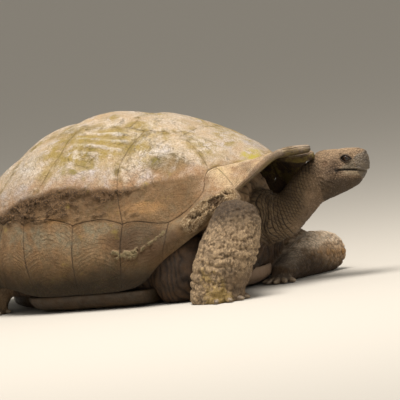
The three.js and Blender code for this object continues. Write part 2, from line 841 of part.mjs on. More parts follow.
function addHindLeg(side, sign, clear) {
  const leg = clear(onFloor(limbSolid(hindLeg(sign), hindShape)));
  const { foot, shank } = partFoot(leg, [-446, sign * 283, 46], [0, 0, 1]);
  const claws = clawSolids([-452, sign * 285, 11], 65, sign * 46, 4, 96);
  addPiece(`thigh_${side}`, shank, colours.skin);
  addPiece(`hindfoot_${side}`, onFloor(join(foot, ...claws)), colours.skin);
}

const shellCutter = join(...addShell());
const plastronCutter = plastronSolid(jointGap);

function clearOfShell(solid) {
  return solid.subtract(shellCutter).subtract(plastronCutter);
}

const trunkCutter = trunkSolid(jointGap);
const clearOfBody = (solid) => clearOfShell(solid).subtract(trunkCutter);

addPiece("plastron", plastronSolid(), colours.plastron, 0.7);
addPiece("trunk", trunkSolid(), colours.skin);
addHeadAndNeck(clearOfBody);
addFrontLeg(
  "right",
  rightUpperArm,
  rightForearm,
  { origin: [390, -368, 66], facing: [0.1, 0.05, 1] },
  clawSolids([381, -376, 11], 70, -14, 5, 112),
  clearOfBody,
);
addFrontLeg(
  "left",
  leftUpperArm,
  leftForearm,
  { origin: [417, 100, 44], facing: [0.04, 1, 0.06] },
  clawSolids([414, 52, 12], 34, 270, 5, 124),
  clearOfBody,
);
addHindLeg("left", 1, clearOfBody);
addHindLeg("right", -1, clearOfBody);
addPiece("tail", clearOfBody(onFloor(limbSolid(tailStations))), colours.skin);

export default model;
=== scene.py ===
import math

import bmesh
import bpy
import numpy as np
from mathutils import Matrix, Vector
from mathutils.bvhtree import BVHTree


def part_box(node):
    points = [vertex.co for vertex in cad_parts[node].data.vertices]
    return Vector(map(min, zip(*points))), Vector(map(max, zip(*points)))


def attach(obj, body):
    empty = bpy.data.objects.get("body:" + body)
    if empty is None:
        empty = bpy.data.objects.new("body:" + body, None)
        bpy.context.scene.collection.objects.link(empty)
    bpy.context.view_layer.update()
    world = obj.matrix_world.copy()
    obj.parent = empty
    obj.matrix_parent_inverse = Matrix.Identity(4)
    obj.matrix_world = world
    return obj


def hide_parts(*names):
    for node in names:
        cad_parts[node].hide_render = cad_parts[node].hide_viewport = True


# A giant tortoise lying on its belly with its head raised. Metres; +X forward, +Y left, +Z up.
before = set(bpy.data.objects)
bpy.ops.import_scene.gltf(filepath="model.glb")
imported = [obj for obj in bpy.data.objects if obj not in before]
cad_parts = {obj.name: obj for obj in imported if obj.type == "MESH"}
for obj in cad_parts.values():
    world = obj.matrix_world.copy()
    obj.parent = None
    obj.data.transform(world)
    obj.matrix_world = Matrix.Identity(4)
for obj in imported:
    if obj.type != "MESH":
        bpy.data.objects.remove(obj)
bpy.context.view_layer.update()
print("frame loaded,", len(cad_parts), "nodes")


def mix(first, second, share):
    return first + (second - first) * share


def smooth(value, low, high):
    t = np.clip((value - low) / (high - low), 0, 1)
    return t * t * (3 - 2 * t)


def blob(points, centre, radii):  # 1 at the centre, 0 outside an ellipsoid
    away = np.linalg.norm((points - np.array(centre)) / np.array(radii), axis=1)
    return 1 - smooth(away, 0.35, 1)


def peak(value, middle, width):  # a bell-shaped bump, 1 at its middle
    return np.exp(-(((value - middle) / width) ** 2))


def bothSides(points):  # the same on the left and the right
    return points * [1, 0, 1] + np.abs(points) * [0, 1, 0]


def unit(vectors):
    return vectors / np.maximum(np.linalg.norm(vectors, axis=-1, keepdims=True), 1e-9)


noiseTable = np.random.default_rng(11).random(65536).astype(np.float32)


def latticeNumber(x, y, z):
    mixed = (x * 73856093) ^ (y * 19349663) ^ (z * 83492791)
    return noiseTable[(mixed ^ (mixed >> 13)) & 65535]


def softNoise(points, size, seed=0):  # smooth lumps of about `size` metres, from -1 to 1
    place = points / size + seed * 17.31
    cell = np.floor(place).astype(np.int64)
    part = place - cell
    part = part * part * (3 - 2 * part)
    total = np.zeros(len(points), np.float32)
    for corner in range(8):
        step = np.array([corner & 1, corner >> 1 & 1, corner >> 2])
        weight = np.prod(np.where(step, part, 1 - part), axis=1)
        total += weight * latticeNumber(*(cell + step).T)
    return total * 2 - 1


def layeredNoise(points, size, layers=3, seed=0):
    total = sum(0.5**k * softNoise(points, size * 0.5**k, seed + 3 * k) for k in range(layers))
    return total / (2 - 0.5 ** (layers - 1))


def shake(points, size, seed):  # a small move in each direction
    return np.stack([layeredNoise(points, size, 2, seed + k) for k in range(3)], 1)


def cellNoise(points, size, seed=0):  # distances to the two nearest cell middles, and a number for each cell
    place = points / size + seed * 9.7
    cell = np.floor(place).astype(np.int64)
    first = np.full(len(points), 9.0)
    second = np.full(len(points), 9.0)
    number = np.zeros(len(points))
    for index in range(27):
        step = np.array([index % 3 - 1, index // 3 % 3 - 1, index // 9 - 1])
        near = cell + step
        x, y, z = near.T
        jitter = np.stack([latticeNumber(x, y, z), latticeNumber(y, z, x), latticeNumber(z, x, y)], 1)
        away = np.linalg.norm(near + 0.15 + 0.7 * jitter - place, axis=1)
        closer = away < first
        second = np.where(closer, first, np.minimum(second, away))
        number = np.where(closer, latticeNumber(z, y, x), number)
        first = np.where(closer, away, first)
    return first, second, number


def throughPoints(before, start, end, after, t):  # a smooth curve from start to end
    leaving, arriving = (end - before) / 2, (after - start) / 2
    bend = (2 * t**3 - 3 * t**2 + 1) * start + (-2 * t**3 + 3 * t**2) * end
    return bend + (t**3 - 2 * t**2 + t) * leaving + (t**3 - t**2) * arriving


def fromLeg(points, start, end):  # the share of the way along a straight leg, and the offset from it
    leg = end - start
    share = np.clip((points - start) @ leg / (leg @ leg), 0, 1)
    return share, points - start - share[:, None] * leg


def makePiece(name, points, faces, material):
    mesh = bpy.data.meshes.new(name)
    mesh.from_pydata(points, [], faces)
    mesh.shade_smooth()
    mesh.materials.append(material)
    piece = bpy.data.objects.new(name, mesh)
    bpy.context.scene.collection.objects.link(piece)
    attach(piece, "root")
    return piece


def writeMask(mesh, name, values):
    mesh.attributes.new(name, "FLOAT", "POINT").data.foreach_set("value", values.astype(np.float32))


# Shader helpers.
def tone(code):  # a display colour such as "8c7555" as linear numbers
    parts = [int(code[i : i + 2], 16) / 255 for i in (0, 2, 4)]
    return [p / 12.92 if p < 0.04045 else ((p + 0.055) / 1.055) ** 2.4 for p in parts] + [1]


def addNode(tree, kind, **settings):
    node = tree.nodes.new("ShaderNode" + kind)
    for name, value in settings.items():
        setattr(node, name, value)
    return node


def feed(tree, socket, value):
    if isinstance(value, bpy.types.NodeSocket):
        tree.links.new(value, socket)
    elif value is not None:
        socket.default_value = value


def compute(tree, operation, first, second=None, third=None, clamp=False):
    node = addNode(tree, "Math", operation=operation, use_clamp=clamp)
    for socket, value in zip(node.inputs, (first, second, third)):
        feed(tree, socket, value)
    return node.outputs[0]


def blend(tree, share, first, second, kind="MIX"):  # colours, or hex codes of them
    node = addNode(tree, "Mix", data_type="RGBA", blend_type=kind)
    feed(tree, node.inputs["Factor"], share)
    feed(tree, node.inputs[6], tone(first) if isinstance(first, str) else first)
    feed(tree, node.inputs[7], tone(second) if isinstance(second, str) else second)
    return node.outputs[2]


def remap(tree, value, low, high, toLow=0.0, toHigh=1.0):
    node = addNode(tree, "MapRange", interpolation_type="SMOOTHSTEP")
    for socket, number in zip(node.inputs, (value, low, high, toLow, toHigh)):
        feed(tree, socket, number)
    return node.outputs[0]


def times(tree, first, second, clamp=False):
    return compute(tree, "MULTIPLY", first, second, clamp=clamp)


def readMask(tree, name):
    return addNode(tree, "Attribute", attribute_name=name).outputs["Fac"]


def strongest(tree, *names):
    best = readMask(tree, names[0])
    for name in names[1:]:
        best = compute(tree, "MAXIMUM", best, readMask(tree, name))
    return best


def paint(tree, colour, *coats):  # a coat's share is a value, a mask's name, or a mask's name and a factor
    for share, over in coats:
        if isinstance(share, tuple):
            share = times(tree, readMask(tree, share[0]), share[1])
        if isinstance(share, str):
            share = readMask(tree, share)
        colour = blend(tree, share, colour, over)
    return colour


def feedAll(tree, node, **values):
    for name, value in values.items():
        feed(tree, node.inputs[name], value)
    return node.outputs


def noiseOver(tree, dimensions="3D", **values):  # noise that stays with the object
    node = addNode(tree, "TexNoise", noise_dimensions=dimensions)
    return feedAll(tree, node, Vector=addNode(tree, "TexCoord").outputs["Object"], **values)[0]


def newGroup(name, inputs, outputs):
    group = bpy.data.node_groups.new(name, "ShaderNodeTree")
    for label, kind, value in inputs:
        socket = group.interface.new_socket(label, in_out="INPUT", socket_type="NodeSocket" + kind)
        if value is not None:
            socket.default_value = value
    for label in outputs:
        group.interface.new_socket(label, in_out="OUTPUT", socket_type="NodeSocketFloat")
    return group, group.nodes.new("NodeGroupInput").outputs, group.nodes.new("NodeGroupOutput")


def useGroup(tree, group, **values):
    node = tree.nodes.new("ShaderNodeGroup")
    node.node_tree = group
    return feedAll(tree, node, **values)


def makeMottleGroup():  # clouds and specks of dirt
    inputs = [("Size", "Float", 20.0), ("Shift", "Float", 0.0)]
    group, given, out = newGroup("mottle", inputs, ["Cloud", "Speck", "Mixed"])
    size, shift = given["Size"], given["Shift"]
    cloud = noiseOver(group, "4D", W=shift, Scale=size, Detail=7.0, Roughness=0.62, Distortion=0.5)
    speck = noiseOver(group, "4D", W=shift, Scale=times(group, size, 9.0), Detail=5.0, Roughness=0.7)
    both = compute(group, "MULTIPLY_ADD", speck, 0.55, cloud)
    clouds, specks = remap(group, cloud, 0.33, 0.67), remap(group, speck, 0.36, 0.64)
    feedAll(group, out, Cloud=clouds, Speck=specks, Mixed=remap(group, both, 0.56, 1.0))
    return group


def makeScaleGroup():  # a net of small scales and the grooves between them
    inputs = [("Place", "Vector", None), ("Size", "Float", 120.0), ("Groove", "Float", 0.12)]
    group, given, out = newGroup("scaleNet", inputs, ["Groove", "Height"])
    edge = addNode(group, "TexVoronoi", feature="DISTANCE_TO_EDGE")
    away = feedAll(group, edge, Vector=given["Place"], Scale=given["Size"])["Distance"]
    height = remap(group, away, 0.0, given["Groove"])
    feedAll(group, out, Groove=compute(group, "SUBTRACT", 1.0, height), Height=height)
    return group


def makeLineGroup():  # fine lines along a distance kept on the mesh, such as growth rings
    inputs = [("Distance", "Float", 0.0), ("Spacing", "Float", 0.006), ("Wander", "Float", 0.004)]
    group, given, out = newGroup("growthLines", inputs, ["Line"])
    warp = noiseOver(group, Scale=14.0, Detail=4.0)
    moved = compute(group, "MULTIPLY_ADD", warp, given["Wander"], given["Distance"])
    turns = compute(group, "DIVIDE", moved, given["Spacing"])
    wave = compute(group, "SINE", times(group, turns, 2 * math.pi))
    worn = remap(group, noiseOver(group, Scale=14.0), 0.42, 0.6)
    feedAll(group, out, Line=times(group, remap(group, wave, 0.2, 1.0), worn))
    return group


mottle = makeMottleGroup()
scaleNet = makeScaleGroup()
growthLines = makeLineGroup()


def startMaterial(name):
    material = bpy.data.materials.new(name)
    material.use_nodes = True
    return material, material.node_tree, material.node_tree.nodes["Principled BSDF"]


def dress(tree, shader, colour, rough, height, depth, strength=1.0):
    feed(tree, shader.inputs["Base Color"], colour)
    feed(tree, shader.inputs["Roughness"], rough)
    bump = feedAll(tree, addNode(tree, "Bump"), Height=height, Distance=depth, Strength=strength)
    feed(tree, shader.inputs["Normal"], bump[0])


shellFinish = {
    "bleached": "dfd6c8", "lavenderSheen": "c6bfc0", "ridge": "e2d9c4", "warm": "b99f7c", "ochre": "a08a48",
    "olive": "786632", "moss": "6f6138", "lichen": "b3a53a", "tide": "a5805a",
    "brown": "80623f", "shade": "452f19", "rust": "bd935f", "greyGreen": "7f7a64", "oliveLow": "5a4a1e",
    "underside": "291f0b", "crust": "3a2918", "crumb": "866846", "clump": "857756",
    "straw": "cfb792", "strawMid": "8a6e4b", "strawShade": "4e3821",
    "rim": "94744e", "rimPale": "d3ba92", "rimEdge": "644a2d", "seam": "2b1e12", "seamTop": "6a5534",
    "inside": "2e2010", "insideMoss": "6e6124", "insideTan": "7d6040", "roughTop": 0.44, "roughMud": 0.9,
}


def makeShellMaterial():
    look = shellFinish
    material, tree, shader = startMaterial("weathered shell")
    broad = useGroup(tree, mottle, Size=9.0, Shift=1.0)
    close = useGroup(tree, mottle, Size=32.0, Shift=4.0)
    patch = useGroup(tree, mottle, Size=17.0, Shift=9.0)
    rings = useGroup(tree, growthLines, Distance=readMask(tree, "rings"), Spacing=0.0078, Wander=0.030)
    worn = blend(tree, close["Mixed"], look["olive"], look["ochre"])
    rimShare = remap(tree, patch["Mixed"], 0.1, 0.8)
    rim = paint(tree, look["rim"], (rimShare, look["rimPale"]), ("rimEdge", look["rimEdge"]))
    top = paint(
        tree, look["warm"],
        (broad["Mixed"], look["bleached"]),
        # painted sheen: a pale lavender reflection of the sky on the plates' raised middles and on the ripple
        # crests
        (("boss", patch["Mixed"]), look["lavenderSheen"]),
        (times(tree, close["Mixed"], 0.45), look["warm"]),
        (("algae", remap(tree, close["Mixed"], 0.0, 0.8)), look["ochre"]),
        (("valley", 0.75), look["ochre"]),
        # painted highlight: the ripple crests paler, as lit from above
        (("ridge", 0.85), look["ridge"]),
        (("border", remap(tree, patch["Mixed"], 0.0, 0.8, 0.2, 0.9)), worn),
        (("moss", remap(tree, close["Mixed"], -0.6, 0.9)), look["moss"]),
        (("tide", remap(tree, close["Mixed"], -0.2, 0.9, 0.2, 1.0)), look["tide"]),
        ("rim", rim),
    )
    low = paint(
        tree, look["brown"],
        (times(tree, patch["Mixed"], 0.5), look["greyGreen"]),
        (("cool", remap(tree, patch["Cloud"], -0.2, 0.8)), look["greyGreen"]),
        (("oliveLow", 0.7), look["oliveLow"]),
        (("rust", remap(tree, close["Mixed"], -0.3, 0.8)), look["rust"]),
        (times(tree, close["Mixed"], 0.3), look["shade"]),
        (times(tree, broad["Speck"], 0.4), look["tide"]),
        (("shade", 0.85), look["shade"]),
        # painted shade: near black at the bottom of the shell, close to the ground
        ("underside", look["underside"]),
    )
    crackNoise = noiseOver(tree, Scale=13.0, Detail=9.0, Roughness=0.68, Distortion=1.4)
    offCrack = compute(tree, "ABSOLUTE", compute(tree, "SUBTRACT", crackNoise, 0.5))
    cracks = times(tree, remap(tree, offCrack, 0.0, 0.012, 0.6, 0.0), remap(tree, broad["Cloud"], 0.2, 0.8))
    lined = times(tree, rings["Line"], readMask(tree, "lined"))
    mud = blend(tree, remap(tree, close["Speck"], 0.3, 1.0), look["crust"], look["crumb"])
    fibres = noiseOver(tree, Scale=120.0, Detail=3.0, Distortion=2.5)
    straw = paint(
        tree, look["straw"],
        (remap(tree, fibres, 0.36, 0.58), look["strawMid"]),
        ("pits", look["strawShade"]),
        (("clump", 0.9), look["clump"]),
    )
    mossy = remap(tree, patch["Mixed"], 0.25, 0.8)
    speckled = times(tree, close["Speck"], 0.4)
    seam = paint(tree, look["seam"], ("upper", look["seamTop"]))
    # the inner faces and cut walls: painted shade, dark brown with moss and tan specks
    within = paint(tree, look["inside"], (mossy, look["insideMoss"]), (speckled, look["insideTan"]))
    colour = paint(
        tree, low,
        ("upper", top),
        (cracks, look["olive"]),
        (lined, look["shade"]),
        (remap(tree, close["Speck"], 0.4, 1.0, 0.0, 0.45), look["shade"]),
        ("crust", mud),
        ("straw", straw),
        (("lichen", remap(tree, close["Mixed"], 0.1, 0.8)), look["lichen"]),
        (("seam", remap(tree, close["Mixed"], -0.5, 0.6)), seam),
        ("inner", within),
    )
    lower = compute(tree, "SUBTRACT", 1.0, readMask(tree, "upper"))
    dull = compute(tree, "MAXIMUM", strongest(tree, "crust", "straw", "inner"), lower)
    rough = remap(tree, dull, 0.0, 1.0, look["roughTop"], look["roughMud"])
    rough = compute(tree, "MULTIPLY_ADD", close["Mixed"], 0.2, rough)
    height = compute(tree, "MULTIPLY_ADD", close["Speck"], 0.8, broad["Speck"])
    strawy = times(tree, fibres, readMask(tree, "straw"))
    for carved, depth in ((lined, 2.0), (cracks, 1.5), (strawy, 4.0)):
        height = compute(tree, "SUBTRACT", height, times(tree, carved, depth))
    dress(tree, shader, colour, rough, height, 0.0018)
    return material


shellMaterial = makeShellMaterial()

# The shell's chart: a round map whose middle is the apex and whose rim is the shell's lower edge.
# Angles run from the front (0) over the left side (90) to the rear (180).
shell = {
    "apexX": -0.054, "apexZ": 0.565, "ringRadius": 0.84, "domeSweep": math.radians(80),
    "frontFullness": 0.86, "sideFullness": 1.65, "frontBulge": -0.004, "sideBulge": 0.026,
    "archHeight": 0.03, "scuteDepth": 0.014, "rimDepth": 0.024,
    "rimRaised": 0.010, "rimLowered": 0.017, "rimSetBack": 0.012,  # the front rim's right and left halves
    "rimStepFrom": 0.43, "rimStepTo": 0.56,
    "rimNotch": 0.02,  # the third marginal's front corner stands out past the second's
    "seamGap": 0.0003, "seamWidth": 0.0017, "seamDepth": 0.0016, "spacing": 0.0042,
    "vertebralRise": 0.009, "costalRise": 0.009, "marginalRise": 0.003, "wander": 0.007,
}
# The ring where costal and marginal plates meet, and the rim below it: angle, then x, y, z in millimetres.
ringStations = [
    (0, 430, 0, 405), (20, 408, 118, 395), (46, 338, 238, 386), (56, 330, 298, 318), (68, 238, 358, 246),
    (80, 106, 398, 256), (96, -53, 412, 266), (113, -224, 397, 280), (136, -398, 302, 276),
    (158, -498, 158, 258), (180, -532, 0, 252),
]
rimStations = [
    (0, 565, 0, 410), (5, 578, 34, 415), (17, 526, 114, 416), (28, 490, 184, 388), (40, 436, 270, 310),
    (50, 380, 318, 246), (60, 298, 358, 188), (68, 216, 386, 132), (74, 156, 402, 78), (80, 84, 408, 57),
    (96, -60, 407, 54), (113, -204, 396, 56), (124, -326, 354, 84), (147, -478, 236, 92),
    (169, -557, 82, 98), (180, -566, 0, 100),
]
marginalSeams = [0, 17, 40, 68, 80, 96, 113, 124, 136, 147, 158, 169]
costalSeams = [46, 80, 113, 136, 158]
# Seams across the midline: x there, then x and y of the corner beside it, in millimetres.
vertebralSeams = [(226, 230, 158), (42, 52, 146), (-162, -186, 140), (-352, -376, 112)]
vertebralCorners = [(104, 162), (-122, 156), (-272, 156)]
costalBends = [-0.045, 0.04, 0.05]  # how far the seams between costals bend forward on the chart


def mirroredCurve(stations):  # points every twentieth of a degree from 0 to 180
    table = np.array(stations, float)
    angles, points = table[:, 0], table[:, 1:] / 1000
    mirror = np.array([1, -1, 1])
    padded = np.vstack([points[1] * mirror, points, points[-2] * mirror])
    fine = np.linspace(0, 180, 3601)
    index = np.clip(np.searchsorted(angles, fine, side="right") - 1, 0, len(angles) - 2)
    t = ((fine - angles[index]) / (angles[index + 1] - angles[index]))[:, None]
    return fine, throughPoints(*(padded[index + k] for k in range(4)), t)


def curveAt(curve, angle):
    wrapped = (angle + 180) % 360 - 180
    found = np.stack([np.interp(np.abs(wrapped), curve[0], curve[1][:, k]) for k in range(3)], -1)
    found[..., 1] *= np.where(wrapped < 0, -1, 1)
    return found


ringCurve = mirroredCurve(ringStations)
rimCurve = mirroredCurve(rimStations)


def shellPoint(chart):
    radius = np.hypot(chart[:, 0], chart[:, 1])
    angle = np.degrees(np.arctan2(chart[:, 1], chart[:, 0]))
    side = smooth(np.abs(angle), 12, 70)
    ring = curveAt(ringCurve, angle)
    share = np.minimum(radius / shell["ringRadius"], 1)
    reach = np.sin(share * shell["domeSweep"]) / math.sin(shell["domeSweep"])
    power = 2 / mix(shell["frontFullness"], shell["sideFullness"], side)
    last = math.cos(shell["domeSweep"]) ** power
    height = (np.cos(share * shell["domeSweep"]) ** power - last) / (1 - last)
    x = mix(shell["apexX"], ring[:, 0], reach)
    dome = np.stack([x, ring[:, 1] * reach, mix(ring[:, 2], shell["apexZ"], height)], 1)
    below = np.maximum((radius - shell["ringRadius"]) / (1 - shell["ringRadius"]), 0)[:, None]
    chord = curveAt(rimCurve, angle) - ring
    outward = unit(np.cross(chord, curveAt(ringCurve, angle + 1) - curveAt(ringCurve, angle - 1)))
    bulge = mix(shell["frontBulge"], shell["sideBulge"], side)[:, None]
    margin = ring + chord * below + outward * bulge * np.sin(below * math.pi)
    return np.where(below > 0, margin, dome)


def shellNormal(chart, step=0.012):
    along = shellPoint(chart + [step, 0]) - shellPoint(chart - [step, 0])
    across = shellPoint(chart + [0, step]) - shellPoint(chart - [0, step])
    return unit(np.cross(along, across))


def polar(angle, radius):
    turn = np.radians(angle)
    return np.stack([np.cos(turn) * radius, np.sin(turn) * radius], -1)


def chartOf(x, y):  # the dome's chart point over x, y in millimetres
    x, y = x / 1000, y / 1000
    heading = math.atan2(abs(y), x - shell["apexX"])
    headings = np.arctan2(ringCurve[1][:, 1], ringCurve[1][:, 0] - shell["apexX"])
    angle = np.interp(heading, headings, ringCurve[0])
    ring = curveAt(ringCurve, angle)
    reach = math.hypot(x - shell["apexX"], y) / math.hypot(ring[0] - shell["apexX"], ring[1])
    share = math.asin(min(reach, 1) * math.sin(shell["domeSweep"])) / shell["domeSweep"]
    return polar(-angle if y < 0 else angle, share * shell["ringRadius"])


def borderRadius(angle):  # the border arches up over each marginal of the sides
    size = np.abs((angle + 180) % 360 - 180)
    seams = np.array([*marginalSeams, 191])
    index = np.clip(np.searchsorted(seams, size, side="right") - 1, 0, len(seams) - 2)
    share = (size - seams[index]) / (seams[index + 1] - seams[index])
    arch = shell["archHeight"] * smooth(size, 60, 82)
    return shell["ringRadius"] - arch * np.sin(np.clip(share, 0, 1) * math.pi) ** 0.8


def walkStraight(start, end):
    length = np.linalg.norm(shellPoint(np.array([start])) - shellPoint(np.array([end])))
    count = max(4, int(length / shell["spacing"]))
    return [mix(start, end, k / count) for k in range(count)]


def walkBent(start, end, bend):
    points = walkStraight(start, end)
    return [p + [bend * math.sin(k / len(points) * math.pi), 0] for k, p in enumerate(points)]


def walkRing(start, end, radiusAt):
    breaks = [s for m in marginalSeams for s in (-m, m, 360 - m)]
    low, high = min(start, end), max(start, end)
    stops = sorted({low, high, *(b for b in breaks if low < b < high)})
    angles = []
    for first, last in zip(stops, stops[1:]):
        count = max(2, math.ceil((last - first) / 0.8))
        angles += [mix(first, last, k / count) for k in range(count)]
    angles.append(high)
    points = [polar(a, radiusAt(np.array(float(a)))) for a in angles]
    return points[:-1] if start <= end else points[::-1][:-1]


def ringPoint(angle):
    return polar(angle, borderRadius(np.array(float(angle))))


def seamCorner(index, side):
    return chartOf(vertebralSeams[index][1], side * vertebralSeams[index][2])


def sideCorner(index, side):
    return chartOf(vertebralCorners[index][0], side * vertebralCorners[index][1])


def crossSeam(index, side):
    middle = chartOf(vertebralSeams[index][0], 0)
    return walkStraight(seamCorner(index, side), middle) + walkStraight(middle, seamCorner(index, -side))


def vertebralOutline(index):
    if index == 0:
        front = costalSeams[0]
        return (
            walkRing(-front, front, borderRadius) + walkStraight(ringPoint(front), seamCorner(0, 1))
            + crossSeam(0, 1) + walkStraight(seamCorner(0, -1), ringPoint(-front))
        )
    if index == 4:
        rear = costalSeams[4]
        return (
            crossSeam(3, -1) + walkStraight(seamCorner(3, 1), ringPoint(rear))
            + walkRing(rear, 360 - rear, borderRadius) + walkStraight(ringPoint(-rear), seamCorner(3, -1))
        )
    outline = crossSeam(index - 1, -1)
    outline += walkStraight(seamCorner(index - 1, 1), sideCorner(index - 1, 1))
    outline += walkStraight(sideCorner(index - 1, 1), seamCorner(index, 1)) + crossSeam(index, 1)
    outline += walkStraight(seamCorner(index, -1), sideCorner(index - 1, -1))
    return outline + walkStraight(sideCorner(index - 1, -1), seamCorner(index - 1, -1))


def costalOutline(index):
    front, rear = ringPoint(costalSeams[index]), ringPoint(costalSeams[index + 1])
    middle = seamCorner(index, 1)
    outline = walkRing(costalSeams[index], costalSeams[index + 1], borderRadius)
    if index < 3:
        outline += walkBent(rear, sideCorner(index, 1), costalBends[index])
        outline += walkStraight(sideCorner(index, 1), middle)
    else:
        outline += walkStraight(rear, middle)
    if index > 0:
        outline += walkStraight(middle, sideCorner(index - 1, 1))
        return outline + walkBent(sideCorner(index - 1, 1), front, costalBends[index - 1])
    return outline + walkStraight(middle, front)


def rimRadius(angle, start):
    notch = shell["rimNotch"]
    if start == 40:
        return 1 + notch * (1 - smooth(angle, 40, 54))
    return 1 - notch * smooth(angle, 28, 40) if start == 17 else 1.0


def marginalOutline(start, end):
    def lower(angle):
        return rimRadius(angle, start)

    return (
        walkRing(start, end, lower) + walkStraight(polar(end, lower(end)), ringPoint(end))
        + walkRing(end, start, borderRadius) + walkStraight(ringPoint(start), polar(start, lower(start)))
    )


def wander(chart):  # every seam runs a little unevenly, the same for both its plates
    mirrored = np.stack([chart[:, 0], np.abs(chart[:, 1]), np.zeros(len(chart))], 1)
    free = shell["wander"] * (1 - smooth(np.hypot(chart[:, 0], chart[:, 1]), 0.9, 1))
    sideways = np.sign(chart[:, 1]) * smooth(np.abs(chart[:, 1]), 0, 0.1)
    shift = np.stack([layeredNoise(mirrored, 0.09, 3, 1), layeredNoise(mirrored, 0.09, 3, 2) * sideways], 1)
    return chart + shift * free[:, None]


def stepFront(points, side):
    front = smooth(points[:, 0], shell["rimStepFrom"], shell["rimStepTo"])[:, None]
    if side < 0:
        return points + front * [0, 0, shell["rimRaised"]]
    return points - front * [shell["rimSetBack"], 0, shell["rimLowered"]]


relief = {
    "mudLine": 0.362, "mudWander": 0.016,  # height of the tide mark of dried mud
    "lumps": 0.0026, "ringDepth": 0.0005, "ringSpacing": 0.0085,
    "rippleSpacing": 0.0200, "rippleDepth": 0.0150,
    "ripples": ((-0.012, 0.222, 0.501), (0.115, 0.11, 0.070)),
    "dentDepth": 0.007,
    "algaePatch": ((-0.06, 0.25, 0.48), (0.16, 0.16, 0.12)),
    "dent": ((-0.036, 0.312, 0.438), (0.06, 0.06, 0.028)),
    "mossPatch": ((0.229, 0.273, 0.411), (0.085, 0.10, 0.062)),
    "lichenPatch": ((0.408, -0.07, 0.405), (0.045, 0.09, 0.045)),
    "rustPatch": ((0.172, 0.372, 0.298), (0.085, 0.06, 0.024)),
    "rustSpot": ((-0.122, 0.412, 0.286), (0.06, 0.05, 0.018)),
    "shadePatch": ((0.17, 0.41, 0.20), (0.16, 0.10, 0.09)),
    "crustHeight": 0.012, "crustSize": 0.017, "strawHeight": 0.010, "strawSize": 0.0078, "strawWidth": 0.036,
    "crustClump": ((0.085, 0.430, 0.174), (0.116, 0.426, 0.166), (0.150, 0.422, 0.170)),
    "clumpWidth": 0.0135, "stripWidth": 0.0062,
    "crustStrip": (
        (0.116, 0.426, 0.165), (0.164, 0.419, 0.176), (0.208, 0.400, 0.201), (0.236, 0.379, 0.223),
    ),
    "strawStrip": ((0.312, 0.359, 0.240), (0.345, 0.335, 0.268), (0.412, 0.283, 0.307)),
}


def nearLine(points, line, width):
    away = np.full(len(points), 9.0)
    for start, end in zip(np.array(line[:-1]), np.array(line[1:])):
        away = np.minimum(away, np.linalg.norm(fromLeg(points, start, end)[1], axis=1))
    return 1 - smooth(away, width * 0.55, width)


def shellMasks(place, kind, toEdge):
    both = bothSides(place)
    rough = layeredNoise(place, 0.05, 4, 5)
    fine = layeredNoise(place, 0.016, 3, 8)
    high, forward = place[:, 2], place[:, 0]
    line = relief["mudLine"] + relief["mudWander"] * layeredNoise(place, 0.12, 5, 3) + 0.010 * fine
    line -= 0.055 * (1 - smooth(forward, -0.36, -0.20))
    front = smooth(forward, 0.29, 0.36) * smooth(high, 0.27, 0.33)
    masks = {"upper": np.maximum(smooth(high + 0.012 * fine, line - 0.006, line + 0.012), front)}
    masks["tide"] = 1 - smooth(high + 0.03 * rough + 0.008 * fine, line, line + 0.075)
    below = smooth(high, line - 0.10, line - 0.01)
    shade = below * np.clip(0.8 + 0.7 * rough - smooth(forward, 0.08, 0.2) * 0.5, 0, 1)
    masks["shade"] = np.maximum(shade, np.clip(blob(both, *relief["shadePatch"]) + 0.5 * rough, 0, 1))
    band = smooth(high, 0.258, 0.3) * (1 - smooth(high, line - 0.012, line + 0.003))
    band *= smooth(forward, -0.40, -0.27) * (1 - smooth(forward, 0.10, 0.2))
    narrow = smooth(forward, -0.08, 0.05) * (1 - smooth(high, 0.30, 0.33))
    islands = smooth(layeredNoise(place * [1, 1, 1.6], 0.05, 4, 33) + 0.25 * (band - narrow), -0.08, 0.12)
    masks["crust"] = band * islands
    shaken = both + 0.014 * fine[:, None] * [1, 0, 1]
    broken = smooth(layeredNoise(place, 0.022, 2, 39), -0.25, 0.1)
    strip = broken * nearLine(shaken, relief["crustStrip"], relief["stripWidth"])
    masks["clump"] = np.maximum(strip, nearLine(shaken, relief["crustClump"], relief["clumpWidth"]))
    plated = 1.0 if kind == "marginal" else 0.0
    shaken = both + 0.016 * rough[:, None] + 0.006 * fine[:, None]
    masks["straw"] = plated * nearLine(shaken, relief["strawStrip"], relief["strawWidth"])
    grown = smooth(rough + 0.7 * blob(both, *relief["algaePatch"]), -0.4, 0.5)
    masks["algae"] = smooth(high, 0.38, 0.46) * grown
    masks["moss"] = smooth(blob(both, *relief["mossPatch"]) + 0.8 * rough + 0.4 * fine, 0.25, 0.85)
    lichen = blob(place, *relief["lichenPatch"]) * 1.3 + 0.6 * rough + 0.5 * fine - 0.3
    masks["lichen"] = np.clip(lichen, 0, 1)
    rusty = blob(both, *relief["rustPatch"]) + 0.8 * blob(both, *relief["rustSpot"])
    masks["rust"] = np.clip(rusty * (1.1 + 0.8 * fine) + 0.1 + 0.45 * rough, 0, 1)
    # painted shade, darkest at the bottom of the shell
    masks["underside"] = 1 - smooth(high + 0.03 * rough, 0.075, 0.18)
    masks["oliveLow"] = (1 - smooth(high + 0.05 * rough, 0.10, 0.21)) * smooth(fine + rough, -0.5, 0.4)
    masks["border"] = (1 - smooth(toEdge, 0.008, 0.036)) * smooth(fine + rough, -0.5, 0.3) * (1 - plated)
    # boss: the plates' raised middles, which take the painted lavender sheen
    masks["boss"] = smooth(toEdge, 0.02, 0.06) * smooth(rough, -0.3, 0.25)
    masks["rim"] = front * plated * np.clip(0.55 + 0.8 * rough, 0, 1)
    masks["lined"] = np.clip(0.10 + 0.18 * plated + 0.35 * front * plated + 0.3 * rough, 0, 1)
    return masks, both, rough, fine


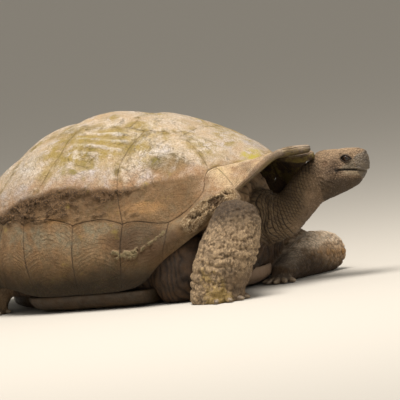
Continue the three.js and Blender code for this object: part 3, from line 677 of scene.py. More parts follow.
def plateGrid(outline):  # rows of chart points from the edge in to the middle
    middle = outline.mean(0)
    spokes = outline - middle
    edge = shellPoint(outline)
    spokeStep = edge - shellPoint(middle + spokes * 0.97)
    perShare = np.linalg.norm(spokeStep, axis=1) / 0.03
    ahead, back = np.roll(edge, -1, 0) - edge, edge - np.roll(edge, 1, 0)
    facing = [np.linalg.norm(np.cross(unit(spokeStep), unit(v)), axis=1) for v in (ahead, back)]
    square = np.clip(np.minimum(*facing), 0.8, 1)
    near = np.array([0, 0.0008, 0.0018, 0.0032, 0.0052, 0.008])
    count = max(5, int(np.linalg.norm(edge - edge.mean(0), axis=1).mean() / shell["spacing"]))
    shares = [1 - (shell["seamGap"] + d) / (perShare * square) for d in near]
    shares += [shares[-1] * (1 - k / count) for k in range(1, count + 1)]
    shares = np.array(shares)
    distance = np.concatenate([near, (1 - shares[len(near):].mean(1)) * perShare.mean()])
    rows = middle + spokes[None] * shares[:, :, None]
    return rows, shares, distance


def plateHeight(masks, place, both, rough, fine, share, toEdge, rise, kind):
    height = rise * (1 - smooth(share, 0.25, 0.93))
    height -= shell["seamDepth"] * (0.8 + 0.5 * rough) * np.exp(-((toEdge / shell["seamWidth"]) ** 1.4))
    height += relief["lumps"] * (rough + 0.5 * fine) * smooth(toEdge, 0, 0.012)
    rings = np.sin(masks["rings"] / relief["ringSpacing"] * 2 * math.pi + 2.5 * rough)
    height += relief["ringDepth"] * rings * smooth(toEdge, 0.004, 0.012) * (1 - smooth(toEdge, 0.05, 0.1))
    masks["ridge"], masks["valley"] = np.zeros(len(place)), np.zeros(len(place))
    if kind == "costal":
        rippled = blob(both, *relief["ripples"])
        wave = both[:, 2] + 0.12 * both[:, 0] + 0.007 * layeredNoise(place, 0.07, 2, 21)
        ridge = 1 - np.abs(np.sin(wave / relief["rippleSpacing"] * math.pi))
        broken = np.clip(0.6 + 0.9 * layeredNoise(place, 0.05, 2, 22), 0, 1)
        height += relief["rippleDepth"] * rippled * broken * (ridge**0.8 - 0.6)
        dent = blob(both, *relief["dent"])
        height -= relief["dentDepth"] * dent
        # ridge: the ripple crests, which get a painted highlight
        masks["ridge"] = np.clip(1.6 * rippled, 0, 1) * broken * smooth(ridge, 0.5, 0.8)
        masks["valley"] = np.clip(1.7 * rippled * (1 - smooth(ridge, 0.12, 0.5)) + 0.8 * dent, 0, 1)
        # the ripple crests take the painted sheen as well
        masks["boss"] = np.clip(masks["boss"] + rippled * ridge, 0, 1)
    shaken = place + 0.006 * shake(place, 0.03, 34)
    first, second, number = cellNoise(shaken, relief["crustSize"], 31)
    lump = smooth(second - first, 0.0, 0.5) * (0.5 + 0.5 * number)
    height += relief["crustHeight"] * masks["crust"] * (0.3 + lump)
    masks["crust"] = np.clip(masks["crust"] * (0.6 + lump), 0, 1)
    streaks = layeredNoise(place * [1, 1, 1.5], 0.028, 4, 32) + 0.35 * layeredNoise(place, 0.009, 2, 37)
    ridged = 1 - np.clip(np.abs(streaks) * 3.2, 0, 1)
    muddy = np.maximum(masks["straw"], masks["clump"])
    first, second, number = cellNoise(shaken * [1, 1, 1.3], relief["strawSize"], 40)
    clods = smooth(second - first, 0.0, 0.4) * (0.4 + 0.6 * number)
    thick = relief["strawHeight"] * (1 - 0.1 * masks["clump"])
    height += thick * muddy * (0.1 + 0.65 * ridged + 0.8 * streaks + 0.55 * clods)
    grain = smooth(0.7 * ridged + 1.1 * streaks + 0.9 * clods, -0.25, 0.75)
    masks["straw"] = muddy
    masks["pits"] = 1 - grain
    return height


def plateDepth(chart):
    return mix(shell["scuteDepth"], shell["rimDepth"], smooth(np.hypot(*chart.T), shell["ringRadius"], 1))


# The cut edge from the outer face inwards: how deep it sinks, and how far it swells on the shell's rim.
wallProfile = [(0.06, 0.5), (0.16, 0.7), (0.3, 0.95), (0.44, 0.85), (0.6, 1.0), (0.8, 0.75), (1, 0.1)]
innerFace = (0, 0.2, 0.5, 0.8)  # how far out each ring of the inner face lies
# How much of the dark inner colour, which is painted shade, each ring has from there outwards, and on the
# raised half of the rim, which is lit and gets less.
innerTones = [(1, 0.85), (1, 0.7), (1, 0.5), (0.9, 0.35), (0.8, 0.2), (0.7, 0.1)]
rimSwell = 0.006


def makePlate(name, outline, rise, side, kind):
    outline = wander(np.array(outline))
    rows, shares, distance = plateGrid(outline)
    levels, around = shares.shape
    chart = rows.reshape(-1, 2)
    toEdge = np.repeat(distance, around)
    base = shellPoint(chart)
    place = stepFront(base * [1, side, 1], side)
    masks, both, rough, fine = shellMasks(place, kind, toEdge)
    radius = np.hypot(*chart.T)
    masks["rings"] = toEdge
    masks["rimEdge"] = smooth(radius + 0.006 * rough, 0.975, 0.99)
    if kind == "marginal":
        masks["rings"] = (radius - borderRadius(np.degrees(np.arctan2(chart[:, 1], chart[:, 0])))) * 0.9
    away = masks["rings"] + 0.02 * rough
    masks["cool"] = smooth(away, 0.004, 0.024) * (1 - smooth(away, 0.05, 0.085)) * (kind == "marginal")
    height = plateHeight(masks, place, both, rough, fine, shares.ravel(), toEdge, rise, kind)
    outer = (base + shellNormal(chart) * height[:, None]).reshape(levels, around, 3)
    onRim = smooth(np.hypot(*outline.T), 0.955, 0.975)
    outward = unit(base[:around] - base[3 * around : 4 * around])
    layers = 1 + 0.5 * layeredNoise(base[:around], 0.03, 3, 41)
    wall = []
    for sink, swell in wallProfile:
        sunk = mix(shell["seamDepth"], plateDepth(outline), sink)[:, None]
        out = outward * (rimSwell * onRim * (swell * layers))[:, None]
        wall.append(base[:around] - shellNormal(rows[0]) * sunk + out)
    inside = []
    for inset in innerFace:
        middle = outline.mean(0)[None]
        chartIn = mix(middle, rows[0], inset) if inset else middle
        inside.append(shellPoint(chartIn) - shellNormal(chartIn) * plateDepth(chartIn)[:, None])
    points = np.vstack([*inside, *wall[::-1], *outer[:-1], outer[-1].mean(0)[None]])
    points[:, 1] *= side
    points = stepFront(points, side)
    rings = len(inside) - 1
    faces = tubeFaces(rings + len(wall) + levels - 1, around, side < 0)
    piece = makePiece(name, points, faces, shellMaterial)
    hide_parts(name)
    masks["seam"] = (
        np.exp(-((toEdge / 0.0015) ** 2)) * np.tile(1 - onRim, levels) * (0.85 - 0.35 * masks["upper"])
        * (np.clip(0.75 + 0.9 * rough + 0.5 * fine, 0.15, 1) * (1 - 0.8 * masks["crust"]))
    )
    first = 1 + around * rings
    for label, values in masks.items():
        grid = values.reshape(levels, around)
        walled = np.tile(grid[0], len(wall))
        if label == "rings":
            walled = np.repeat([-0.024 * sink for sink, _ in wallProfile[::-1]], around)
        if label == "lined":
            walled = np.tile(np.maximum(grid[0], 0.8 * onRim), len(wall))
        whole = np.concatenate([np.zeros(first), walled, grid[:-1].ravel(), [grid[-1].mean()]])
        writeMask(piece.data, label, whole)
    # painted shade on the inner face and down the cut walls
    inner = np.zeros(len(points))
    inner[:first] = 1
    for level, (share, lit) in enumerate(innerTones):
        share = mix(share, lit, onRim) if side < 0 else share
        inner[first + around * level : first + around * (level + 1)] = share
    writeMask(piece.data, "inner", inner)


def tubeFaces(layers, around, flipped):  # from a first point through rings to a last point
    faces = []
    last = 1 + layers * around
    for k in range(around):
        n = (k + 1) % around
        faces.append((0, 1 + k, 1 + n))
        faces.append((last - around + n, last - around + k, last))
    for layer in range(layers - 1):
        start = 1 + layer * around
        faces += [
            (start + k, start + k + around, start + (k + 1) % around + around, start + (k + 1) % around)
            for k in range(around)
        ]
    return [f[::-1] for f in faces] if flipped else faces


def addShell():
    rise = {kind: shell[kind + "Rise"] for kind in ("vertebral", "costal", "marginal")}
    for index in range(5):
        outline = vertebralOutline(index)
        makePlate(f"vertebral_{index + 1}", outline, rise["vertebral"], 1, "vertebral")
    for side, word in ((1, "left"), (-1, "right")):
        for index in range(4):
            outline = costalOutline(index)
            makePlate(f"costal_{index + 1}_{word}", outline, rise["costal"], side, "costal")
        for index in range(11):
            outline = marginalOutline(marginalSeams[index], marginalSeams[index + 1])
            makePlate(f"marginal_{index + 1}_{word}", outline, rise["marginal"], side, "marginal")
    outline = marginalOutline(marginalSeams[11], 360 - marginalSeams[11])
    makePlate("supracaudal", outline, rise["marginal"], 1, "marginal")
    print("shell plates done")


addShell()

# The skin over all the flesh.
skin = {
    "voxel": 0.0064, "swell": 0.0006, "fairing": 60,
    "headBase": (0.566, 0.062, 0.310), "headYaw": 12,
    "eye": (0.099, 0.035, 0.057), "eyeRadius": 0.016, "openWide": 0.0168, "openHigh": 0.0098,
    "lidOver": 0.0020, "brow": 0.0046, "socket": 0.0022, "eyeDepth": 0.0062,
    "mouthBack": 0.068, "mouthHeight": (0.0240, 0.0120), "mouthDepth": 0.0066,
    "lips": 0.0013, "mouthWidth": 0.0029, "mouthCorner": (0.068, 0, 0.0235), "cornerDepth": 0.002,
    "foldDepth": 0.0018, "foldLift": 0.0011, "recess": 0.003,
    "nostril": (0.1555, 0.0105, 0.0645), "nostrilSize": 0.0040, "nostrilDepth": 0.0048,
    "ear": (0.034, 0.053, 0.047), "earDepth": 0.0018, "cheek": (0.03, 0.056, 0.006), "cheekSwell": 0.003,
}
fleshNodes = ["trunk", "neck_lower", "neck_upper", "head", "jaw_lower", "tail"]
for word in ("left", "right"):
    fleshNodes += [f"{part}_{word}" for part in ("upper_arm", "forearm", "forefoot", "thigh", "hindfoot")]
hornNodes = ["beak_upper", "eye_left", "eye_right"]


def meshArrays(mesh):
    points = np.zeros(len(mesh.vertices) * 3, np.float32)
    mesh.vertices.foreach_get("co", points)
    edges = np.zeros(len(mesh.edges) * 2, np.int32)
    mesh.edges.foreach_get("vertices", edges)
    return points.reshape(-1, 3).astype(float), edges.reshape(-1, 2)


def meshNormals(mesh):
    normals = np.zeros(len(mesh.vertices) * 3, np.float32)
    mesh.vertex_normals.foreach_get("vector", normals)
    return normals.reshape(-1, 3).astype(float)


def setPoints(mesh, points):
    mesh.vertices.foreach_set("co", points.astype(np.float32).ravel())
    mesh.update()


def averaged(values, edges, count):  # each point's mean over its neighbours
    total = np.zeros((count, values.shape[1]))
    for k in range(values.shape[1]):
        total[:, k] = np.bincount(edges[:, 0], values[edges[:, 1], k], count)
        total[:, k] += np.bincount(edges[:, 1], values[edges[:, 0], k], count)
    return total / np.maximum(np.bincount(edges.ravel(), minlength=count), 1)[:, None]


def fair(points, edges, rounds, mask=None):  # smooths without shrinking
    weight = 1 if mask is None else mask[:, None]
    for _ in range(rounds):
        for push in (0.6, -0.615):
            points = points + weight * push * (averaged(points, edges, len(points)) - points)
    return points


def soften(values, edges, rounds):
    values = values[:, None] if values.ndim == 1 else values
    for _ in range(rounds):
        values = 0.4 * values + 0.6 * averaged(values, edges, len(values))
    return values


def toHead(points):
    turn = math.radians(skin["headYaw"])
    away = points - np.array(skin["headBase"])
    x = away[:, 0] * math.cos(turn) + away[:, 1] * math.sin(turn)
    y = away[:, 1] * math.cos(turn) - away[:, 0] * math.sin(turn)
    return np.stack([x, y, away[:, 2]], 1)


def fromHead(points):
    turn = math.radians(skin["headYaw"])
    x = points[:, 0] * math.cos(turn) - points[:, 1] * math.sin(turn)
    y = points[:, 0] * math.sin(turn) + points[:, 1] * math.cos(turn)
    return np.stack([x, y, points[:, 2]], 1) + np.array(skin["headBase"])


def joinedFlesh():
    bm = bmesh.new()
    for name in fleshNodes + hornNodes:
        start = len(bm.verts)
        bm.from_mesh(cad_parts[name].data)
        bm.verts.ensure_lookup_table()
        bmesh.ops.remove_doubles(bm, verts=bm.verts[start:], dist=1e-5)
    bm.normal_update()
    for vert in bm.verts:
        vert.co += vert.normal * skin["swell"]
    mesh = bpy.data.meshes.new("skin")
    bm.to_mesh(mesh)
    bm.free()
    return mesh


def remeshed(mesh):
    piece = bpy.data.objects.new("skin", mesh)
    bpy.context.scene.collection.objects.link(piece)
    voxels = piece.modifiers.new("remesh", "REMESH")
    voxels.mode = "VOXEL"
    voxels.voxel_size = skin["voxel"]
    graph = bpy.context.evaluated_depsgraph_get()
    made = bpy.data.meshes.new_from_object(piece.evaluated_get(graph))
    piece.modifiers.clear()
    piece.data = made
    return piece


def keepLargest(mesh):
    count = len(mesh.vertices)
    _, edges = meshArrays(mesh)
    label = np.arange(count)
    while True:
        low = np.minimum(label[edges[:, 0]], label[edges[:, 1]])
        before = label.copy()
        np.minimum.at(label, edges[:, 0], low)
        np.minimum.at(label, edges[:, 1], low)
        label = label[label]
        if (label == before).all():
            break
    main = np.bincount(label).argmax()
    if (label == main).all():
        return
    bm = bmesh.new()
    bm.from_mesh(mesh)
    bm.verts.ensure_lookup_table()
    bmesh.ops.delete(bm, geom=[bm.verts[i] for i in np.flatnonzero(label != main)], context="VERTS")
    bm.to_mesh(mesh)
    bm.free()


def refine(mesh, chosen):  # halves the mesh's spacing where `chosen` is true
    bm = bmesh.new()
    bm.from_mesh(mesh)
    bm.edges.ensure_lookup_table()
    _, edges = meshArrays(mesh)
    picked = np.flatnonzero(chosen[edges].all(1))
    bmesh.ops.subdivide_edges(bm, edges=[bm.edges[i] for i in picked], cuts=1, use_grid_fill=True)
    bm.to_mesh(mesh)
    bm.free()


def insideShell(points):  # deep under the carapace, where nothing shows
    both = bothSides(points)
    hidden = (both[:, 2] > 0.2 + 0.25 * smooth(both[:, 0], 0.2, 0.36)) & (both[:, 0] < 0.36)
    middle = (both[:, 2] > 0.06) & (np.abs(both[:, 0] + 0.07) < 0.15)
    under = (both[:, 2] < 0.06) & (both[:, 0] < 0.24) & (both[:, 0] > -0.26) & (both[:, 1] < 0.3)
    return hidden | middle | under


def nearestNodes(points):
    corners, faces, owner = [], [], []
    for index, name in enumerate(fleshNodes + hornNodes):
        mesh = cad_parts[name].data
        start = len(corners)
        corners += [v.co for v in mesh.vertices]
        faces += [[start + i for i in p.vertices] for p in mesh.polygons]
        owner += [index] * len(mesh.polygons)
    tree = BVHTree.FromPolygons(corners, faces)
    return np.array([owner[tree.find_nearest(p)[2]] for p in points.tolist()])


# The neck's middle line from the body outwards, and the spacing of the two sets of creases in its net.
neckLine = [
    (0.28, 0.002, 0.184), (0.33, 0.006, 0.200), (0.388, 0.014, 0.212), (0.424, 0.023, 0.207),
    (0.452, 0.031, 0.211), (0.488, 0.042, 0.238), (0.53, 0.053, 0.274), (0.565, 0.062, 0.302),
    (0.61, 0.071, 0.33),
]
neckNet = (0.0095, 0.0125)


def alongLine(points, line):  # how far along the line each point lies, and its offset from the line
    line = np.array(line)
    best = np.full(len(points), 9.0)
    along = np.zeros(len(points))
    offset = np.zeros(points.shape)
    travelled = 0
    for start, end in zip(line[:-1], line[1:]):
        length = np.linalg.norm(end - start)
        share, off = fromLeg(points, start, end)
        away = np.linalg.norm(off, axis=1)
        closer = away < best
        along = np.where(closer, travelled + share * length, along)
        offset = np.where(closer[:, None], off, offset)
        best = np.where(closer, away, best)
        travelled += length
    return along, offset


def sculptEye(local, side):
    eye = np.array(skin["eye"])
    radius = skin["eyeRadius"]
    u, v = local[:, 0] - eye[0], local[:, 2] - eye[2] + 0.10 * (local[:, 0] - eye[0])
    outward = side * local[:, 1] - eye[1]
    away = np.hypot(u, v)
    lidRadius = radius + skin["lidOver"]
    onLid = np.sqrt(np.maximum(lidRadius**2 - away**2, (0.35 * lidRadius) ** 2))
    beside = (outward > -0.01) & (away < 0.045)
    share = np.where(beside, 1 - smooth(away, 0.7 * radius, 1.2 * radius), 0)
    moved = mix(outward, onLid, share)
    brow = peak(v, 0.0158, 0.0042) * (1 - smooth(np.abs(u), 0.012, 0.028))
    moved += np.where(beside, skin["brow"] * brow, 0)
    moved -= np.where(beside, skin["socket"] * peak(away, 1.2 * radius, 0.003), 0)
    lid = np.abs(v) - skin["openHigh"] * (1 - (u / skin["openWide"]) ** 2)
    moved += np.where(beside, 0.0008 * peak(lid, 0.0016, 0.0011), 0)
    moved -= np.where(beside, 0.0007 * peak(lid, 0.0042, 0.0009), 0)
    # opened: the gap between lid and eyeball, painted near black as shade
    opened = np.where(beside & (away < 1.1 * radius), 1 - smooth(lid, -0.0009, 0.0003), 0)
    moved = mix(moved, onLid - skin["eyeDepth"], opened)
    local = local.copy()
    local[:, 1] = np.where(beside, side * (moved + eye[1]), local[:, 1])
    # painted shade: a dark line under the brow and a dark rim round the eye opening
    overLid = peak(v, 0.0125, 0.0014) * (1 - smooth(np.abs(u + 0.002), 0.010, 0.020))
    lids = np.maximum(peak(lid, 0.0012, 0.0034), 0.75 * overLid)
    return local, opened, np.where(beside, lids, 0)


def mouthLine(x):
    share = np.clip((x - skin["mouthBack"]) / 0.085, 0, 1)
    return mix(*skin["mouthHeight"], share**2.2)


# Folds of the cheek and the throat as seen from the side: start, end and width.
headFolds = [
    ((0.0, 0.016), (0.062, -0.021), 0.0022), ((0.003, 0.001), (0.058, -0.037), 0.002),
    ((0.0, -0.018), (0.045, -0.05), 0.002), ((0.072, 0.020), (0.052, -0.012), 0.002),
]


def foldDepths(local, points):
    place = local[:, [0, 2]] + 0.003 * layeredNoise(points, 0.02, 2, 62)[:, None]
    total = np.zeros(len(points))
    for start, end, width in headFolds:
        start, end = np.array(start), np.array(end)
        share, off = fromLeg(place, start, end)
        beside = off @ np.array([start[1] - end[1], end[0] - start[0]]) / np.linalg.norm(end - start)
        fade = smooth(share, 0, 0.12) * (1 - smooth(share, 0.85, 1)) * (np.linalg.norm(off, axis=1) < 0.02)
        lift = skin["foldLift"] * peak(beside, 0.003, 0.003)
        depth = skin["foldDepth"] * peak(beside, 0, width)
        total += fade * (lift - depth)
    return total


def sculptHead(points, headShare):
    local = toHead(points)
    near = headShare > 0.02
    opened, lids = np.zeros(len(points)), np.zeros(len(points))
    for side in (1, -1):
        sculpted, hole, lid = sculptEye(local, side)
        local = np.where(near[:, None], sculpted, local)
        opened, lids = np.maximum(opened, hole), np.maximum(lids, lid)
    marks = {"lid": lids * near, "opened": opened * near}
    away = local[:, 2] - mouthLine(local[:, 0])
    within = smooth(local[:, 0], skin["mouthBack"] - 0.002, skin["mouthBack"] + 0.006) * near
    groove = peak(away, 0, skin["mouthWidth"]) * within
    lips = (1.3 * peak(away, 0.0046, 0.003) - 0.3 * peak(away, -0.005, 0.004)) * within
    recess = smooth(local[:, 0], 0.125, 0.15) * (1 - smooth(away, -0.006, 0.001)) * near
    local[:, 0] -= skin["recess"] * recess
    folds = foldDepths(local, points) * near
    # fold: the bottoms of the folds, darkened as painted shade
    marks["fold"] = np.clip(-folds / 0.0016, 0, 1)
    local[:, 1] += np.sign(local[:, 1]) * folds
    corner = peak(np.linalg.norm(local * [1, 0, 1] - skin["mouthCorner"], axis=1), 0, 0.006) * near
    outward = unit(local * [0, 1, 0.25] + smooth(local[:, 0], 0.12, 0.15)[:, None] * [0.03, 0, 0])
    carved = skin["lips"] * lips - skin["mouthDepth"] * groove - skin["cornerDepth"] * corner
    local += outward * carved[:, None]
    # groove: the mouth slit, painted near black as shade
    marks["groove"] = np.maximum(groove, corner)
    for side in (1, -1):
        nostril = np.array(skin["nostril"]) * [1, side, 1]
        hole = peak(np.linalg.norm(local - nostril, axis=1), 0, skin["nostrilSize"]) * near
        local -= (hole * skin["nostrilDepth"])[:, None] * unit(np.array([0.75, side * 0.5, 0.25]))
        marks["nostril"] = np.maximum(marks.get("nostril", 0), hole)
        ear = np.linalg.norm((local - np.array(skin["ear"]) * [1, side, 1]) / [1, 1.6, 0.8], axis=1)
        local[:, 1] -= side * near * skin["earDepth"] * (peak(ear, 0, 0.009) - 0.5 * peak(ear, 0.013, 0.003))
        marks["ear"] = np.maximum(marks.get("ear", 0), peak(ear, 0, 0.011) * near)
        cheek = np.linalg.norm((local - np.array(skin["cheek"]) * [1, side, 1]) / [1.2, 1, 0.9], axis=1)
        local[:, 1] += side * near * skin["cheekSwell"] * peak(cheek, 0, 0.022)
    forward, high = local[:, 0], local[:, 2]
    # painted shade under the jaw, below the mouth
    marks["chinShade"] = (1 - smooth(away + 0.006 * layeredNoise(points, 0.03, 3, 66), -0.034, -0.018)) * near
    marks["jawHorn"] = np.exp(-(((away + 0.008) / 0.009) ** 4)) * smooth(forward, 0.075, 0.10) * near
    # painted highlight: the top of the head paler, as lit from above
    marks["litCrown"] = smooth(high, 0.035, 0.075)
    # painted shade of the cheek's hollow: a dark, patchy area behind and below the eye
    patchy = np.clip(0.65 + 0.9 * layeredNoise(points, 0.02, 3, 67), 0, 1)
    beside = (1 - smooth(np.abs(high - 0.034), 0.010, 0.038)) * (1 - smooth(forward, 0.058, 0.092))
    marks["cheek"] = patchy * near * beside
    slant = 0.030 + 0.55 * (forward - 0.078) - high + 0.004 * layeredNoise(points, 0.02, 2, 65)
    above = smooth(away, -0.001, 0.001) * smooth(forward, 0.07, 0.09)
    marks["lipHorn"] = smooth(slant, -0.006, 0.008) * above * near
    marks["horn"] = smooth(forward + 0.25 * (high - 0.04), 0.112, 0.134) * smooth(slant, -0.012, 0.004) * near
    return fromHead(local), marks


def creases(position, spacing, sharp=2.0):  # rows of rounded folds, 0 in the creases and 1 on top
    return np.abs(np.sin(position / spacing * math.pi)) ** (1 / sharp)


def addSkin():
    piece = remeshed(joinedFlesh())
    keepLargest(piece.data)
    mesh = piece.data
    points, edges = meshArrays(mesh)
    setPoints(mesh, fair(points, edges, skin["fairing"]))
    for stage in range(3):
        points, _ = meshArrays(mesh)
        local = toHead(points)
        head = (local[:, 0] > -0.02) & (points[:, 2] > 0.2)
        side = np.abs(local[:, 1])
        mouth = head & (local[:, 0] > 0.062) & ((np.abs(local[:, 2] - 0.02) < 0.014) | (local[:, 0] > 0.128))
        fromEye = np.linalg.norm((local - skin["eye"]) * [1, 0, 1], axis=1)
        eyes = head & (fromEye < 0.03) & (side > 0.02)
        chosen = (~insideShell(points), head, mouth | eyes)[stage]
        refine(mesh, chosen)
        points, edges = meshArrays(mesh)
        setPoints(mesh, fair(points, edges, 6))
    points, edges = meshArrays(mesh)
    print("skin mesh:", len(points), "points")
    names = fleshNodes + hornNodes
    owner = nearestNodes(points)
    groups = {
        "head": ["head", "jaw_lower", "beak_upper", "eye_left", "eye_right"],
        "neck": ["neck_lower", "neck_upper"],
        "right": ["forearm_right", "forefoot_right"], "left": ["forearm_left", "forefoot_left"],
        "trunk": ["trunk"], "hind": [n for n in names if n.startswith(("thigh", "hindfoot"))],
    }
    stack = np.stack([np.isin(owner, [names.index(n) for n in g]) for g in groups.values()], 1).astype(float)
    stack = soften(stack, edges, 14)
    shares = dict(zip(groups, stack.T))
    local = toHead(points)
    both = shares["head"] + shares["neck"]
    border = local[:, 0] - 0.35 * local[:, 2] + 0.04 * layeredNoise(points, 0.03, 3, 50)
    headward = smooth(border, -0.05, 0.05)
    shares["head"] = both * headward
    shares["neck"] = both * (1 - headward)
    height, marks = skinRelief(mesh, points, shares)
    normals = meshNormals(mesh)
    points = points + normals * height[:, None]
    headShare = smooth(local[:, 0], 0.012, 0.04) * (shares["head"] > 0.3)
    points, headMarks = sculptHead(points, headShare)
    points[:, 2] = np.maximum(points[:, 2], 0)
    setPoints(mesh, points)
    shareMarks = {label + "Share": shares[label] for label in ("head", "neck", "left", "trunk")}
    for label, values in {**marks, **headMarks, **shareMarks}.items():
        writeMask(mesh, label, values)
    mesh.shade_smooth()
    mesh.materials.append(makeSkinMaterial())
    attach(piece, "root")
    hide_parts(*fleshNodes)
    print("skin done")
    return piece


def skinRelief(mesh, points, shares):
    height = np.zeros(len(points))
    marks = {}
    forward, high = points[:, 0], points[:, 2]
    rough = layeredNoise(points, 0.05, 3, 51)
    fine = layeredNoise(points, 0.012, 3, 52)
    warped = points + 0.012 * shake(points, 0.05, 53)
    # Neck: rings of folds at the nape and base, and a finer slanting net.
    along, offset = alongLine(warped, neckLine)
    away = np.linalg.norm(offset, axis=1)
    turn = np.arctan2(np.abs(offset @ [-0.15, 0.97, 0.1]), offset @ [-0.55, -0.1, 0.83]) * 0.07
    steady = along + 0.5 * offset @ [0.82, 0.15, 0.55]
    bent = steady - 0.018 * smooth(turn, 0.12, 0.22) * (1 - smooth(along, 0.2, 0.3))
    marks["netOne"], marks["netTwo"] = bent + 0.30 * turn, bent - 0.55 * turn + 0.004 * rough
    net = creases(marks["netOne"], neckNet[0], 2.4) * creases(marks["netTwo"], neckNet[1], 2.4)
    rings = creases(steady + 0.0075 * rough, 0.021, 1.5)
    collar = 1 - smooth(along, 0.12, 0.2)
    collarFolds = 0.010 * collar * (creases(along, 0.034, 1.4) - 0.6)
    height += shares["neck"] * (0.0034 * (net - 0.5) + 0.0018 * (rings - 0.6) + collarFolds)
    # Trunk: loose upright folds in the pockets of skin beside the legs.
    sway = 0.03 * layeredNoise(points * [1, 1, 0.4], 0.06, 3, 59)
    folds = creases(warped[:, 0] + 0.6 * warped[:, 1] * np.sign(points[:, 1]) + 0.1 * high + sway, 0.021, 2.0)
    height += shares["trunk"] * (0.0062 * (folds - 0.55) + 0.006 * rough)
    atCollar = shares["trunk"] * smooth(forward, 0.32, 0.36) * (1 - smooth(away, 0.17, 0.22))
    atCollar *= smooth(high, 0.17, 0.23)
    height += atCollar * 0.011 * (creases(away + 0.020 * rough, 0.030, 1.2) - 0.5)
    marks["collar"] = atCollar
    # Legs: pebbled scales, larger at the elbow and on the front of the shank.
    first, second, number = cellNoise(warped * [1, 1, 0.8], 0.0095, 3)
    small = smooth(second - first, 0.0, 0.42)
    jolted = warped + 0.007 * shake(points, 0.02, 56)
    big1, big2, bigNumber = cellNoise(jolted * [1, 1, 0.85], 0.0150, 5)
    large = smooth(big2 - big1, 0.0, 0.38)
    limbs = np.clip(shares["right"] + shares["left"] + shares["hind"], 0, 1)
    elbow = smooth(forward + 0.4 * (points[:, 1] - 0.33), 0.42, 0.46) * shares["left"]
    shank = shares["right"] * smooth(forward - 0.5 * high, 0.30, 0.40)
    coarse = np.clip(elbow + 0.55 * shank + 0.6 * shares["hind"], 0, 1) * smooth(rough, -0.5, 0.1)
    pebbled = coarse * (0.0018 + 0.001 * bigNumber + 0.0012 * elbow)
    height += limbs * (1 - coarse) * 0.0013 * (small - 0.6) + pebbled * (large - 0.6)
    wraps = creases(high + 0.25 * forward + 0.02 * rough, 0.03, 1.5)
    wrist = peak(high - 0.105 - 0.35 * (forward - 0.42), 0, 0.04) * shares["right"]
    height += limbs * (0.0006 + 0.007 * wrist) * (wraps - 0.6) + limbs * 0.003 * rough
    # Head: fine scales.
    headFirst, headSecond, headNumber = cellNoise(points, 0.0072, 7)
    net = smooth(headSecond - headFirst, 0.0, 0.4)
    height += shares["head"] * (0.0017 * (net - 0.6) + 0.0018 * rough + 0.0015 * fine)
    # headNet: the grooves between head scales, darkened as painted shade
    marks["headNet"] = (1 - net) * np.clip(0.85 + rough, 0, 1)
    marks["headTint"] = np.clip(headNumber * net + 0.3 * fine, 0, 1)
    rest = 1 - np.clip(shares["head"] + shares["neck"] + limbs + shares["trunk"], 0, 1)
    height += rest * 0.0014 * (small - 0.6)
    height += 0.0006 * fine * (1 - shares["head"])
    caked = layeredNoise(jolted, 0.0105, 4, 63) + 0.6 * layeredNoise(points, 0.005, 2, 64)
    flakes = smooth(caked, -0.5, 0.15)
    muddy = smooth(forward * 0.5 - points[:, 1] * 0.6 + 0.08 * rough, 0.34, 0.44)
    muddy = np.maximum(muddy, 1 - smooth(high + 0.03 * rough, 0.12, 0.16)) * shares["right"]
    height += 0.0042 * muddy * (flakes - 0.5)
    toeShade = smooth(forward + 0.02 * rough, 0.40, 0.43) * (1 - smooth(high + 0.02 * rough, 0.06, 0.11))
    mud = muddy * (0.4 + 0.6 * flakes) * (1 - 0.9 * toeShade)
    marks["cracks"] = muddy * (1 - smooth(caked, -0.62, -0.3))
    strawPlace = forward - 0.4 + 0.4 * (high - 0.05)
    foot = shares["right"] * (1 - smooth(high + 0.03 * rough, 0.085, 0.125))
    foot *= 1 - smooth(strawPlace, 0.02, 0.05)
    foot *= smooth(rough + fine, -0.4, 0.2) * smooth(forward, 0.35, 0.375)
    height += 0.006 * foot * np.abs(layeredNoise(points, 0.02, 3, 61)) * 2
    # grooves between scales and the folds of the skin, darkened below as painted shade
    marks["groovesLarge"] = coarse * (1 - large)
    marks["groovesSmall"] = np.clip(limbs * (1 - coarse) + rest, 0, 1) * (1 - small)
    marks["folds"] = shares["trunk"] * (1 - folds) * 1.8 + limbs * (1 - wraps) * (0.15 + 0.7 * wrist)
    marks["scaleTint"] = np.where(coarse > 0.5, bigNumber, number)
    marks["mud"] = np.clip(mud, 0, 1)
    marks["footMud"] = foot
    # painted shadow of the shell's rim on the upper part of the near foreleg
    marks["shoulderShadow"] = smooth(high + 0.02 * rough, 0.19, 0.27) * shares["right"]
    # upward faces paler: dust, and painted light from above
    upward = meshNormals(mesh)[:, 2]
    marks["topDustAndLight"] = smooth(upward + 0.3 * rough, 0.1, 0.7)
    marks["lowShade"] = 1 - smooth(high + 0.03 * rough + 0.05 * smooth(points[:, 1], 0.15, 0.30), 0.05, 0.115)
    return height, marks


skinFinish = {
    "head": "967b60", "headDark": "534231", "headPale": "c0a585", "litCrown": "bd9f7c", "cheek": "513c28",
    "chinShade": "3c2e1c", "jawHorn": "b3a084", "lipHorn": "6f6655", "ear": "5f3f26", "lid": "2b2018",
    "neck": "7d6547", "neckDeep": "412f1b", "neckPale": "9c8462", "groove": "1c130b", "black": "0a0705",
    "leg": "8b6f50", "legDeep": "4d3b27", "mud": "c9ac86", "footMud": "a68a48",
    "farLeg": "a67b46", "farLegPale": "f2dcc0", "farLegDark": "33210a",
    "pocketShade": "2e1d08", "pocketPale": "54391a", "collar": "b0906c",
}


def wrinkle(tree, phase, spacing, width):  # 1 in thin creases that run across `phase`
    wave = compute(tree, "SINE", times(tree, phase, math.pi / spacing))
    return remap(tree, compute(tree, "ABSOLUTE", wave), 0.0, width, 1.0, 0.0)


